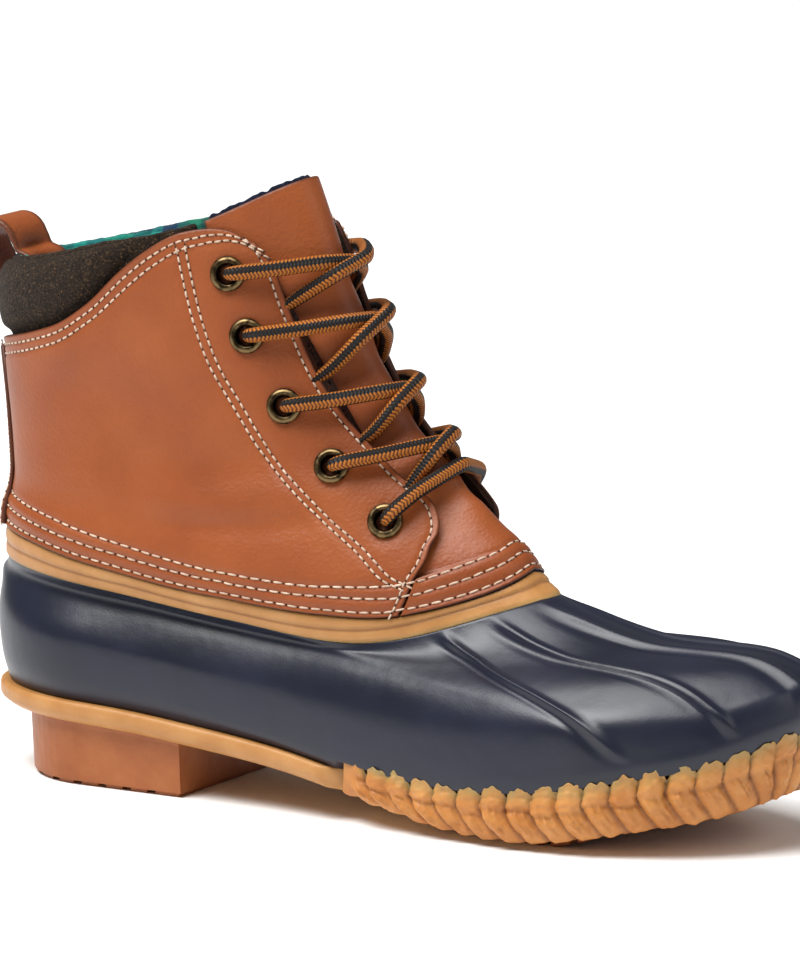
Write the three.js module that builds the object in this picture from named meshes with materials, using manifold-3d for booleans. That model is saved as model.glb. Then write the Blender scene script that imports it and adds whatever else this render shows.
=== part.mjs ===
import * as THREE from 'three';
import { mergeVertices } from 'three/addons/utils/BufferGeometryUtils.js';
import Module from 'manifold-3d';

// A right duck boot: gum rubber sole and heel, moulded rubber shell, leather quarters and
// tongue, felt collar cuff. +X points to the toe, -Y to the outer side of the foot, +Z up.
// The origin is the middle of the heel's floor face. Lengths are millimetres.

// Driving sizes of the last and the sole
const soleLength = 280;
const ballWidth = 100;
const legWidth = 60;
const upperHeight = 164;
const heelRise = 18.4;
const toeSpring = 18.4;
const soleThickness = 7;
const treadDepth = 2.6;

// Walls and clearances
const rubberWall = 2.4;
const leatherWall = 2.2;
const feltThickness = 4.6;
const randWall = 2.4;
const insoleThickness = 3;
const gap = 0.3;
const seatGap = 0.5;

// Sole, heel and rand details
const bandReach = 3;
const bandChamfer = 3;
const heelLength = 68;
const heelWidth = 60;
const heelDraft = 1.2;
const chamferShare = 0.35;
const lugGroove = 3;
const grooveDepth = 1.9;
const lugPitch = 9;
const padInset = 11;
const padSink = 0.8;
const crimpPitch = 8.8;
const crimpRelief = 1;
const crimpSwell = 1;
const crimpScallop = 1.6;
const firstCrimpRise = 1.6;
const crimpSlant = 4;

// Shell, binding and leather details
const ridgeHeight = 1.2;
const ridgeWidth = 4.5;
const bumpHeight = 2;
const bindingProud = 0.5;
const beadHeight = 1.2;
const marginStep = 2.7;
const flapClearance = 0.8;
const tongueSwell = 1.8;
const cuffSwell = 4.2;
const stayThickness = 1.4;
const stayWidth = 21;
const loopWidth = 20;
const loopThickness = 1.8;
const loopRise = 13;
const loopReach = 15;
const loopLean = 6;
const loopFoot = 3;

// Eyelets and lace
const eyeletDiameter = 11;
const eyeletBore = 5.8;
const eyeletBarrel = 7.4;
const eyeletCrown = 1.5;
const eyeletSeat = 0.5;
const laceDiameter = 4.8;
const laceBulge = 3.2;

// Half widths of the sole along its length, as shares of the ball width
const planTable = table(['at', 'outerSide', 'innerSide'], [
  [0.00, 0.330, 0.330],
  [0.12, 0.345, 0.340],
  [0.25, 0.340, 0.325],
  [0.40, 0.345, 0.305],
  [0.52, 0.390, 0.335],
  [0.62, 0.440, 0.400],
  [0.71, 0.475, 0.445],
  [0.80, 0.478, 0.445],
  [0.90, 0.455, 0.410],
  [1.00, 0.430, 0.380],
]);

// Underside of the sole along its length: a share of the heel rise and of the toe spring
const soleTable = table(['at', 'rise', 'spring'], [
  [0.00, 1.00, 0.00],
  [0.10, 0.98, 0.00],
  [0.20, 0.91, 0.00],
  [0.30, 0.77, 0.00],
  [0.40, 0.60, 0.00],
  [0.50, 0.36, 0.00],
  [0.56, 0.20, 0.00],
  [0.62, 0.06, 0.00],
  [0.68, 0.00, 0.00],
  [0.74, 0.00, 0.02],
  [0.80, 0.00, 0.16],
  [0.86, 0.00, 0.34],
  [0.93, 0.00, 0.56],
  [1.00, 0.00, 1.00],
]);

// The last's surface, one row for each level from the feather line to the tongue's top.
// back, toe, roundBack and roundToe are shares of the sole length, bend and widen of the
// ball width, leg of the leg width; mix blends foot width (0) to leg width (1). h0 to h4
// are heights from heel to toe as shares of the upper height, above the sole's top under
// the point (follow 1) or above the heel seat (follow 0).
const lastTable = table(
  ['level', 'back', 'toe', 'bend', 'widen', 'leg', 'mix', 'roundBack', 'roundToe',
    'h0', 'h1', 'h2', 'h3', 'h4', 'follow'],
  [
    [0, -0.003, 0.975, 0.080, -0.030, 0.50, 0.00, 0.150, 0.207, 0.000, 0.000, 0.000, 0.000, 0.000, 1],
    [1, -0.010, 0.996, 0.085, -0.005, 0.50, 0.00, 0.150, 0.207, 0.052, 0.040, 0.024, 0.055, 0.063, 1],
    [2, -0.015, 1.000, 0.085, 0.000, 0.50, 0.00, 0.157, 0.214, 0.110, 0.100, 0.091, 0.091, 0.100, 1],
    [3, -0.016, 0.988, 0.085, -0.010, 0.50, 0.00, 0.164, 0.236, 0.152, 0.131, 0.140, 0.173, 0.158, 1],
    [4, -0.015, 0.943, 0.080, -0.040, 0.50, 0.10, 0.171, 0.286, 0.186, 0.155, 0.122, 0.110, 0.181, 0],
    [5, -0.011, 0.807, 0.060, -0.080, 0.53, 0.30, 0.179, 0.339, 0.213, 0.189, 0.155, 0.143, 0.192, 0],
    [6, -0.006, 0.682, 0.030, -0.120, 0.58, 0.75, 0.186, 0.357, 0.241, 0.220, 0.189, 0.171, 0.259, 0],
    [7, 0.004, 0.636, 0.010, -0.120, 0.58, 0.90, 0.186, 0.339, 0.320, 0.293, 0.259, 0.247, 0.332, 0],
    [8, 0.007, 0.586, 0.000, -0.120, 0.57, 1.00, 0.186, 0.304, 0.396, 0.375, 0.354, 0.354, 0.415, 0],
    [9, 0.000, 0.496, 0.000, -0.120, 0.53, 1.00, 0.179, 0.268, 0.524, 0.512, 0.506, 0.518, 0.567, 0],
    [10, -0.009, 0.429, 0.000, -0.120, 0.52, 1.00, 0.171, 0.236, 0.665, 0.677, 0.695, 0.720, 0.774, 0],
    [11, -0.012, 0.375, 0.000, -0.120, 0.50, 1.00, 0.161, 0.214, 0.799, 0.829, 0.872, 0.918, 1.000, 0],
  ]);

// Seam and edge lines on the last. side runs from 0 at the heel to 0.5 at the toe, and a
// level is a row of the last's table, with parts of a row between two rows.
const marginLine = table(['side', 'level'], [
  [0.00, 6.74],
  [0.11, 6.78],
  [0.16, 6.70],
  [0.22, 6.66],
  [0.27, 6.71],
  [0.32, 6.70],
  [0.365, 6.46],
  [0.41, 6.34],
  [0.45, 6.36],
  [0.50, 6.52],
]);
const topLine = table(['side', 'level'], [
  [0.00, 9.88],
  [0.07, 9.95],
  [0.175, 10.18],
  [0.216, 10.40],
  [0.252, 10.68],
  [0.283, 10.86],
  [0.315, 10.96],
  [0.345, 10.93],
  [0.369, 10.83],
  [0.392, 10.66],
  [0.50, 10.50],
]);
const flapLine = table(['level', 'side'], [
  [6.46, 0.365],
  [7.00, 0.384],
  [7.33, 0.403],
  [7.58, 0.415],
  [7.73, 0.427],
  [7.96, 0.439],
  [8.19, 0.445],
  [8.39, 0.437],
  [8.89, 0.425],
  [9.40, 0.410],
  [10.04, 0.405],
  [10.36, 0.404],
  [10.55, 0.398],
  [10.90, 0.375],
]);
const eyeletTable = table(['level', 'side'], [
  [10.49, 0.356],
  [9.94, 0.356],
  [9.31, 0.366],
  [8.71, 0.380],
  [8.06, 0.392],
]);

// Moulded ridges of the vamp: where each lies at a level of the shell
const ridgeTable = table(['level', 'outer', 'middle', 'crest'], [
  [0.00, 0.395, 0.438, 0.480],
  [1.60, 0.381, 0.433, 0.480],
  [3.10, 0.357, 0.418, 0.480],
  [4.20, 0.347, 0.405, 0.478],
  [5.20, 0.362, 0.406, 0.471],
  [6.00, 0.381, 0.419, 0.470],
]);

// Where each crossing of the lace meets the tongue's crest and where its lower ends
// come out from under the flaps, as levels of the last
const crossingTable = table(['crest', 'emerge'], [
  [10.28, 10.14],
  [9.80, 9.52],
  [9.18, 8.93],
  [8.60, 8.45],
]);

// Where parts of the pattern begin and end
const originShare = 0.15;
const rimLevel = 6;
const bindingTop = 7;
const randStart = 0.2515;
const cuffEnd = 0.333;
const tongueStart = 0.345;
const tongueTop = 11;
const padStart = 0.285;
const lastGroove = 0.93;

const wasm = await Module();
wasm.setup();

function table(columns, rows) {
  return { columns, rows };
}

function clamp(value, low, high) {
  return Math.min(Math.max(value, low), high);
}

function mix(a, b, t) {
  return a + (b - a) * t;
}

function smooth(t) {
  const s = clamp(t, 0, 1);
  return s * s * (3 - 2 * s);
}

// Values of a table's columns at a place along its first column, on a smooth curve
function lookUp(source, at) {
  const rows = source.rows;
  const last = rows.length - 1;
  const x = clamp(at, rows[0][0], rows[last][0]);
  let i = 0;
  while (i < last - 1 && x >= rows[i + 1][0]) i += 1;
  const slope = (k, column) => {
    const low = Math.max(k - 1, 0);
    const high = Math.min(k + 1, last);
    return (rows[high][column] - rows[low][column]) / (rows[high][0] - rows[low][0]);
  };
  const h = rows[i + 1][0] - rows[i][0];
  const t = (x - rows[i][0]) / h;
  const a = 2 * t ** 3 - 3 * t ** 2 + 1;
  const b = t ** 3 - 2 * t ** 2 + t;
  const c = t ** 3 - t ** 2;
  const found = {};
  source.columns.forEach((name, column) => {
    found[name] = a * rows[i][column] + b * h * slope(i, column)
      + (1 - a) * rows[i + 1][column] + c * h * slope(i + 1, column);
  });
  return found;
}

// Five heights from heel to toe, blended along the length
function alongFoot(heights, share) {
  const i = Math.min(Math.floor(share * 4), 3);
  const t = share * 4 - i;
  const a = heights[i];
  const b = heights[i + 1];
  const slopeA = i > 0 ? (b - heights[i - 1]) / 2 : b - a;
  const slopeB = i < 3 ? (heights[i + 2] - a) / 2 : b - a;
  const keep = 2 * t ** 3 - 3 * t ** 2 + 1;
  return keep * a + (t ** 3 - 2 * t ** 2 + t) * slopeA + (1 - keep) * b + (t ** 3 - t ** 2) * slopeB;
}

function roundEnd(distance, radius) {
  const t = 1 - clamp(distance / radius, 0, 1);
  return Math.sqrt(Math.max(1 - t * t, 0));
}

function soleBottom(x) {
  const row = lookUp(soleTable, x / soleLength);
  return treadDepth + Math.max(row.rise, 0) * heelRise + Math.max(row.spring, 0) * toeSpring;
}

function soleTop(x) {
  return soleBottom(x) + soleThickness;
}

const heelSeat = treadDepth + heelRise + soleThickness;
const originAt = originShare * soleLength;

// A point of the last: side 0 is the heel, 0.25 the outer side, 0.5 the toe, 0.75 the
// inner side. x is measured from the sole's back edge here.
function lastPoint(side, level) {
  const row = lookUp(lastTable, level);
  const turn = ((side % 1) + 1) % 1;
  const hand = turn <= 0.5 ? -1 : 1;
  const along = (1 - Math.cos(2 * Math.PI * Math.min(turn, 1 - turn))) / 2;
  const back = row.back * soleLength;
  const toe = row.toe * soleLength;
  const x = back + (toe - back) * along;
  const plan = lookUp(planTable, x / soleLength);
  const foot = ((hand < 0 ? plan.outerSide : plan.innerSide) + row.widen) * ballWidth;
  const width = mix(foot, row.leg * legWidth, row.mix)
    * roundEnd(x - back, row.roundBack * soleLength) * roundEnd(toe - x, row.roundToe * soleLength);
  const bend = row.bend * ballWidth * smooth((x / soleLength - 0.45) / 0.5);
  const rise = alongFoot([row.h0, row.h1, row.h2, row.h3, row.h4], along) * upperHeight;
  const base = mix(heelSeat, soleTop(x), row.follow);
  return new THREE.Vector3(x, bend + hand * width, rise + base);
}

function lastNormal(side, level) {
  const e = 0.002;
  const low = clamp(level - e, 0, tongueTop - 2 * e);
  const high = low + 2 * e;
  const across = lastPoint(side + e, level).sub(lastPoint(side - e, level));
  const up = lastPoint(side, high).sub(lastPoint(side, low));
  return across.cross(up).normalize();
}

// A point of the boot, a distance out from the last, from the boot's own origin
function place(side, level, out) {
  const point = lastPoint(side, level).addScaledVector(lastNormal(side, level), out);
  point.x -= originAt;
  return point;
}

// A point beside the sole: out from the feather line in plan, at a given height
function beside(side, level, out, height) {
  const point = lastPoint(side, level);
  const normal = lastNormal(side, level).setZ(0).normalize();
  point.addScaledVector(normal, out);
  const z = height(point.x);
  point.x -= originAt;
  point.z = z;
  return point;
}

// Distance around the last for a step of side, at a place on it
function sideStep(side, level, length) {
  const e = 0.001;
  const speed = lastPoint(side + e, level).distanceTo(lastPoint(side - e, level)) / (2 * e);
  return length / speed;
}

function steps(from, to, count) {
  return Array.from({ length: count + 1 }, (_, i) => mix(from, to, i / count));
}

function half(side) {
  return Math.min(side, 1 - side);
}

function bodyFrom(points, triangles) {
  const geometry = new THREE.BufferGeometry();
  const flat = points.flatMap((point) => [point.x, point.y, point.z]);
  geometry.setAttribute('position', new THREE.Float32BufferAttribute(flat, 3));
  geometry.setIndex(triangles.flat());
  return geometry;
}

// One wall between an outer and an inner grid of points, closed along all its edges
function wall(columns, rows, outer, inner) {
  const points = [];
  [outer, inner].forEach((face) => {
    columns.forEach((column) => rows.forEach((row) => points.push(face(column, row))));
  });
  const tall = rows.length;
  const offset = columns.length * tall;
  const triangles = [];
  const quad = (a, b, c, d) => triangles.push([a, b, c], [a, c, d]);
  for (let i = 0; i < columns.length - 1; i += 1) {
    const a = i * tall;
    const b = a + tall;
    for (let j = 0; j < tall - 1; j += 1) {
      quad(a + j, b + j, b + j + 1, a + j + 1);
      quad(offset + a + j, offset + a + j + 1, offset + b + j + 1, offset + b + j);
    }
    quad(offset + a, offset + b, b, a);
    quad(a + tall - 1, b + tall - 1, offset + b + tall - 1, offset + a + tall - 1);
  }
  const end = offset - tall;
  for (let j = 0; j < tall - 1; j += 1) {
    quad(offset + j, j, j + 1, offset + j + 1);
    quad(end + j, offset + end + j, offset + end + j + 1, end + j + 1);
  }
  return bodyFrom(points, triangles);
}

// A solid swept around the last from one section of points to the next, either closed in
// a ring or with its two ends shut. A section runs up the outside and down the inside.
function sweep(sections, closed) {
  const count = sections[0].length;
  const triangles = [];
  const spans = closed ? sections.length : sections.length - 1;
  for (let i = 0; i < spans; i += 1) {
    const a = i * count;
    const b = ((i + 1) % sections.length) * count;
    for (let j = 0; j < count; j += 1) {
      const next = (j + 1) % count;
      triangles.push([a + j, b + j, b + next], [a + j, b + next, a + next]);
    }
  }
  if (!closed) {
    const end = (sections.length - 1) * count;
    for (let j = 1; j < count - 1; j += 1) {
      triangles.push([0, j, j + 1], [end, end + j + 1, end + j]);
    }
  }
  return bodyFrom(sections.flat(), triangles);
}

// A solid stacked from rings, the lowest first. Each ring is a list of pairs of points,
// one on the outer side of the foot and one on the inner side, from heel to toe. A pair
// may be one and the same point.
function stack(rings) {
  const points = [];
  const outline = [];
  const pairs = rings[0].map((pair) => {
    const single = pair[0].distanceTo(pair[1]) < 1e-6;
    return { single };
  });
  rings.forEach((pairsOfRing) => {
    pairsOfRing.forEach((pair, i) => {
      points.push(pair[0]);
      if (!pairs[i].single) points.push(pair[1]);
    });
  });
  const size = points.length / rings.length;
  let index = 0;
  pairs.forEach((pair) => {
    pair.outer = index;
    pair.inner = pair.single ? index : index + 1;
    index = pair.inner + 1;
  });
  pairs.forEach((pair) => outline.push(pair.outer));
  [...pairs].reverse().forEach((pair) => {
    if (!pair.single) outline.push(pair.inner);
  });
  const triangles = [];
  const add = (a, b, c) => {
    if (a !== b && b !== c && c !== a) triangles.push([a, b, c]);
  };
  for (let k = 0; k < rings.length - 1; k += 1) {
    const low = k * size;
    outline.forEach((a, i) => {
      const b = outline[(i + 1) % outline.length];
      add(low + a, low + b, low + size + b);
      add(low + a, low + size + b, low + size + a);
    });
  }
  const top = (rings.length - 1) * size;
  for (let i = 0; i < pairs.length - 1; i += 1) {
    const a = pairs[i];
    const b = pairs[i + 1];
    add(top + a.outer, top + b.outer, top + b.inner);
    add(top + a.outer, top + b.inner, top + a.inner);
    add(a.outer, b.inner, b.outer);
    add(a.outer, a.inner, b.inner);
  }
  return bodyFrom(points, triangles);
}

function toSolid(geometry) {
  const bare = geometry.clone();
  bare.deleteAttribute('normal');
  bare.deleteAttribute('uv');
  const merged = mergeVertices(bare, 1e-4);
  return new wasm.Manifold(new wasm.Mesh({
    numProp: 3,
    vertProperties: Float32Array.from(merged.attributes.position.array),
    triVerts: Uint32Array.from(merged.index.array),
  }));
}

function fromSolid(solid) {
  const mesh = solid.getMesh();
  const geometry = new THREE.BufferGeometry();
  geometry.setAttribute('position', new THREE.Float32BufferAttribute(mesh.vertProperties, 3));
  geometry.setIndex(Array.from(mesh.triVerts));
  return geometry;
}

// A bar across the sole, cut out of a tread to leave a groove
function grooveBar(x, width, top) {
  const bottom = -1;
  const bar = new THREE.BoxGeometry(width, 2 * ballWidth, top - bottom);
  return toSolid(bar.translate(x, 0, (top + bottom) / 2));
}

const bandEnd = randStart - 0.006;
const soleSides = [0, 0.03, 0.06, 0.1, 0.14, 0.18, 0.21, 0.235, bandEnd, bandEnd + 0.004,
  0.27, 0.295, 0.32, 0.345, 0.37, 0.395, 0.42, 0.445, 0.47, 0.5];

// How far the platform stands out from the feather line: a band that shows behind the
// rand, and inside the rand from there to the toe
function platformReach(side) {
  return side <= bandEnd ? bandReach : -randWall - seatGap;
}

function platformRing(out, height) {
  return soleSides.map((side) => [side, 1 - side].map((turn) => (
    beside(turn, 0, platformReach(side) + out(side), height)
  )));
}

// The sole's platform with its chamfered lower edge, and the grooved tread of the forefoot
function outsole() {
  const chamfer = (side) => (side <= bandEnd ? -bandChamfer : 0);
  const flush = () => 0;
  const platform = toSolid(stack([
    platformRing(chamfer, soleBottom),
    platformRing(flush, (x) => soleBottom(x) + soleThickness * chamferShare),
    platformRing(flush, soleTop),
  ]));
  const padSides = steps(padStart, 0.5, 10);
  const padBottom = (x) => Math.max(soleBottom(x) - treadDepth - padSink, 0);
  const padRing = (height) => padSides.map((side) => [side, 1 - side].map((turn) => (
    beside(turn, 0, -padInset, height)
  )));
  const middle = (x) => soleBottom(x) + soleThickness / 2;
  let solid = platform.add(toSolid(stack([padRing(padBottom), padRing(middle)])));
  const first = lastPoint(padStart, 0).x + lugPitch / 2;
  const grooves = Math.floor((soleLength * lastGroove - first) / lugPitch);
  for (let i = 0; i <= grooves; i += 1) {
    const x = first + i * lugPitch;
    solid = solid.subtract(grooveBar(x - originAt, lugGroove, padBottom(x) + grooveDepth));
  }
  return fromSolid(solid);
}

// The heel: a block with a round back and a straight breast, grooved across its floor face
function heelBlock() {
  const radius = heelWidth / 2;
  const centre = radius - heelLength / 2;
  const outline = (inset) => {
    const turns = steps(Math.PI, Math.PI / 2, 8);
    const arc = turns.map((turn) => [
      centre + (radius - inset) * Math.cos(turn),
      (radius - inset) * Math.sin(turn),
    ]);
    return [...arc, [heelLength / 4, radius - inset], [heelLength / 2, radius - inset]];
  };
  const block = stack([heelDraft, 0].map((inset, k) => outline(inset).map(([x, y]) => {
    const z = k === 0 ? 0 : soleBottom(x + originAt) - gap;
    return [new THREE.Vector3(x, -y, z), new THREE.Vector3(x, y, z)];
  })));
  let solid = toSolid(block);
  const rows = Math.floor(heelLength / 2 / lugPitch);
  for (let i = -rows; i < rows; i += 1) {
    solid = solid.subtract(grooveBar((i + 0.5) * lugPitch, lugGroove, grooveDepth));
  }
  return fromSolid(solid);
}

// The crimped rand: a wall around the forefoot with slanting pleats and a scalloped lip
function rand() {
  const middle = 0.5;
  const walk = steps(randStart, middle, 80);
  const walked = [0];
  walk.slice(1).forEach((side, i) => {
    walked.push(walked[i] + lastPoint(side, 0.5).distanceTo(lastPoint(walk[i], 0.5)));
  });
  const around = walked[walk.length - 1];
  const count = Math.round(around / crimpPitch);
  const phases = [0, 0.35, 0.7];
  const relief = [-1, 0.8, 0.7];
  const scallop = [-1, 0.6, 0.9];
  const halfColumns = [];
  for (let i = 0; i < count; i += 1) {
    phases.forEach((phase, k) => halfColumns.push({ at: (i + phase) / count, k, first: i === 0 }));
  }
  const sideAt = (share) => {
    const i = Math.max(walked.findIndex((length) => length >= share * around), 1);
    const t = (share * around - walked[i - 1]) / (walked[i] - walked[i - 1]);
    return mix(walk[i - 1], walk[i], t);
  };
  const columns = [
    ...halfColumns.map((column) => ({ ...column, turn: sideAt(column.at), hand: 1 })),
    { at: 1, k: 0, turn: middle, hand: 1 },
    ...[...halfColumns].reverse().map((column) => ({ ...column, turn: 1 - sideAt(column.at), hand: -1 })),
  ];
  const outerRows = [0, 0.2, 0.6, 1];
  const swell = [-0.6, 0.9, 0.7, -0.4].map((share) => share * crimpSwell);
  const heightAt = (column, row) => (x) => {
    const extra = column.first ? firstCrimpRise * column.k / 2 : 0;
    const peak = row < 1 ? 0 : scallop[column.k] * crimpScallop + extra;
    const lip = lastPoint(column.turn, 1).z;
    return mix(soleBottom(x) + gap, lip, row) + peak;
  };
  const slanted = (column, row) => {
    const fade = smooth(column.at * count / 2) * smooth((1 - column.at) * count / 3);
    const shift = sideStep(column.turn, 0.5, crimpSlant) * (1 - row) * fade;
    return column.turn + column.hand * shift;
  };
  const face = (column, row, out) => beside(slanted(column, row), row, out, heightAt(column, row));
  const section = (column) => {
    const outside = outerRows.map((row, k) => (
      face(column, row, swell[k] + relief[column.k] * crimpRelief * (row > 0 ? 1 : 0.4))
    ));
    return [...outside, face(column, 1, -randWall), face(column, 0, -randWall)];
  };
  return sweep(columns.map(section), false);
}

// How far the shell's outer face stands in from the last where the rand wraps it
function shellOut(side, level) {
  const wrapped = smooth((half(side) - randStart + 0.016) / 0.012);
  const below = 1 - smooth((level - 1.65) / 0.7);
  return -(randWall + seatGap) * wrapped * below;
}

const ridges = ['outer', 'middle', 'crest'];

// Columns of the shell as side places at the rim, with three for each moulded ridge
function shellSides() {
  const plain = [0, 0.025, 0.05, 0.08, 0.115, 0.15, 0.185, 0.22, 0.2375, 0.25, 0.262, 0.28,
    0.305, 0.33, 0.355];
  const columns = plain.map((side) => ({ side, ridge: null, step: 0 }));
  ridges.forEach((name) => {
    [-1, 0, 1].forEach((step) => columns.push({ side: null, ridge: name, step }));
  });
  return columns;
}

// Where a column of the shell lies at a level, on the outer half of the foot
function shellSideAt(column, level) {
  const line = lookUp(ridgeTable, level);
  if (column.ridge) {
    return line[column.ridge] + column.step * sideStep(line[column.ridge], level, ridgeWidth / 2);
  }
  const rim = lookUp(ridgeTable, rimLevel);
  const pull = smooth((column.side - 0.25) / 0.12);
  return column.side + (line.outer - rim.outer) * pull;
}

function shell() {
  const outerRows = [0, 0.6, 1.6, 1.95, 2.3, 2.7, 3.3, 3.8, 4.3, 5, 5.6, 6];
  const innerRows = [6, 5, 4.1, 3.3, 2.1, 1, 0];
  const columns = shellSides();
  const rise = (x) => soleTop(x) + gap;
  const pointAt = (side, level, out) => (
    level === 0 ? beside(side, level, out, rise) : place(side, level, out)
  );
  const section = (column, hand) => {
    const sideAt = (level) => {
      const side = shellSideAt(column, level);
      return hand < 0 ? 1 - side : side;
    };
    const raised = (level) => {
      const ridge = column.ridge && column.step === 0 ? ridgeHeight : 0;
      const bump = column.side === 0 ? bumpHeight : 0;
      return ridge * smooth((level - 1.9) / 0.8) + bump * smooth(1 - Math.abs(level - 4.6));
    };
    const outside = outerRows.map((level) => {
      const side = sideAt(level);
      return pointAt(side, level, shellOut(side, level) + raised(level));
    });
    const inside = innerRows.map((level) => {
      const side = sideAt(level);
      return pointAt(side, level, shellOut(side, level) - rubberWall);
    });
    return [...outside, ...inside];
  };
  const outerHalf = columns.map((column) => section(column, 1));
  const toe = section({ side: 0.5, ridge: null, step: 0 }, 1);
  const innerHalf = columns.slice(1).reverse().map((column) => section(column, -1));
  return sweep([...outerHalf, toe, ...innerHalf], true);
}

function insole() {
  const clearance = rubberWall + randWall + 3 * seatGap;
  const layer = (height) => soleSides.map((side) => [side, 1 - side].map((turn) => (
    beside(turn, 0, -clearance, height)
  )));
  return stack([layer((x) => soleTop(x) + seatGap), layer((x) => soleTop(x) + seatGap + insoleThickness)]);
}

// The gum binding over the shell's rim, with a bead along it. Its top is under the leather.
function binding() {
  const bottom = rimLevel + 0.05;
  const bead = bindingProud + beadHeight;
  const outside = [[0, bindingProud], [0.5, bindingProud], [0.66, bead], [0.82, 0.6 * bindingProud], [1, -gap]];
  const section = (turn) => {
    const edge = lookUp(marginLine, half(turn)).level;
    const face = outside.map(([share, out]) => place(turn, mix(bottom, edge, share), out));
    const hidden = [[bindingTop, -gap], [bindingTop, -rubberWall], [bottom, -rubberWall]];
    return [...face, ...hidden.map(([level, out]) => place(turn, level, out))];
  };
  const outerHalf = shellSides().map((column) => shellSideAt(column, rimLevel));
  const innerHalf = outerHalf.slice(1).reverse().map((side) => 1 - side);
  return sweep([...outerHalf, 0.5, ...innerHalf].map(section), true);
}

// How far the leather steps out over the binding, fading up the boot
function marginOut(level) {
  return marginStep * (1 - smooth((level - 7.1) / 1.1));
}

function flapSide(level) {
  return lookUp(flapLine, level).side;
}

// Side and level of a point of the quarters: across runs from -1 at the outer flap's
// edge over 0 at the back to 1 at the inner flap's edge, up from the margin to the top line
function quarterAt(across, up) {
  const reach = Math.abs(across);
  let side = 0.4 * reach;
  let level = 8;
  for (let i = 0; i < 12; i += 1) {
    level = mix(lookUp(marginLine, side).level, lookUp(topLine, side).level, up);
    side = mix(side, flapSide(level) * reach, 0.7);
  }
  return { side: across > 0 ? 1 - side : side, level };
}

function eyeletSpot(index, hand) {
  const row = eyeletTable.rows[index];
  const side = hand < 0 ? row[1] : 1 - row[1];
  return { centre: place(side, row[0], marginOut(row[0])), normal: lastNormal(side, row[0]) };
}

const quarterReaches = [1, 0.975, 0.91, 0.83, 0.74, 0.64, 0.53, 0.42, 0.31, 0.21, 0.13, 0.06];

function quarters() {
  const columns = [...quarterReaches, 0, ...quarterReaches.map((reach) => -reach).reverse()];
  const rows = [0, 0.06, 0.13, 0.21, 0.3, 0.4, 0.5, 0.61, 0.72, 0.83, 0.93, 1];
  const face = (inset) => (across, up) => {
    const spot = quarterAt(across, up);
    return place(spot.side, spot.level, marginOut(spot.level) - inset);
  };
  let solid = toSolid(wall(columns, rows, face(0), face(leatherWall)));
  const hole = eyeletBarrel / 2 + gap;
  const drill = new THREE.CylinderGeometry(hole, hole, 6 * leatherWall, 10).rotateX(Math.PI / 2);
  [-1, 1].forEach((hand) => eyeletTable.rows.forEach((_, index) => {
    const { centre, normal } = eyeletSpot(index, hand);
    const turned = drill.clone().applyQuaternion(turnTo(normal));
    solid = solid.subtract(toSolid(turned.translate(centre.x, centre.y, centre.z)));
  }));
  return fromSolid(solid);
}

// How deep the tongue lies below the flaps' outer face, rising to the crest between them
function tongueOut(side, level) {
  const hidden = -(leatherWall + flapClearance);
  const shown = half(side) - flapSide(level);
  const width = Math.max(0.5 - flapSide(level), 0.06);
  const crest = smooth(shown / width * 1.15);
  return marginOut(level) + mix(hidden, tongueSwell * smooth((level - 7.4) / 0.7), crest);
}

// The vamp and tongue in one piece: it butts against the flaps' lower corners over the
// binding, drops inwards just above it and runs on under the flaps
function tongue() {
  const butted = bindingTop + 0.04;
  const dropped = butted + 0.1;
  const edgeGap = 0.006;
  const shares = [0, 0.12, 0.25, 0.37, 0.48, 0.6, 0.72, 0.86];
  const columns = [...shares, 1, ...shares.map((share) => 2 - share).reverse()];
  const rows = [-1, -0.5, butted, dropped, 7.3, 7.6, 7.95, 8.35, 8.9, 9.5, 10.1, 10.6, tongueTop];
  const face = (inset) => (column, row) => {
    const share = Math.min(column, 2 - column);
    let side = 0.44;
    let level = row;
    for (let i = 0; i < 8; i += 1) {
      if (row < 0) level = mix(butted, lookUp(marginLine, side).level, -row);
      const start = level > dropped ? tongueStart : flapSide(level) + edgeGap;
      side = mix(start, 0.5, share);
    }
    const shown = level > butted ? tongueOut(side, level) : marginOut(level);
    return place(column > 1 ? 1 - side : side, level, shown - inset);
  };
  return wall(columns, rows, face(0), face(leatherWall));
}

// The felt cuff: it starts inside the quarters and swells out above their top line
function cuff() {
  const seated = quarterReaches.map((reach) => quarterAt(-reach, 1).side).filter((side) => side < cuffEnd);
  const reaches = [cuffEnd, ...seated];
  const columns = [...reaches, 0, ...reaches.map((side) => -side).reverse()];
  const tucked = -(leatherWall + seatGap);
  const outerRows = [
    { past: -0.5, above: 0, out: tucked },
    { past: 0.06, above: 0, out: tucked },
    { past: 0.1, above: 0.12, out: tucked + cuffSwell * 0.8 },
    { past: 0.1, above: 0.5, out: tucked + cuffSwell },
    { past: 0.1, above: 0.88, out: tucked + cuffSwell * 0.7 },
    { past: 0.1, above: 1, out: tucked },
  ];
  const levelAt = (turn, row) => {
    const line = lookUp(topLine, Math.abs(turn)).level + row.past;
    return mix(line, Math.max(line, tongueTop), row.above);
  };
  const sideOf = (turn) => (turn < 0 ? -turn : (1 - turn) % 1);
  const swell = (turn) => smooth((tongueTop - 0.12 - lookUp(topLine, Math.abs(turn)).level) / 0.35);
  const outer = (turn, row) => {
    const out = tucked + (row.out - tucked) * swell(turn);
    return place(sideOf(turn), levelAt(turn, row), out);
  };
  const inner = (turn, row) => {
    const thin = row.above === 1 ? 0.17 : 0;
    return place(sideOf(turn), levelAt(turn, row), tucked - feltThickness * (1 - thin));
  };
  return wall(columns, outerRows, outer, inner);
}

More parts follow.
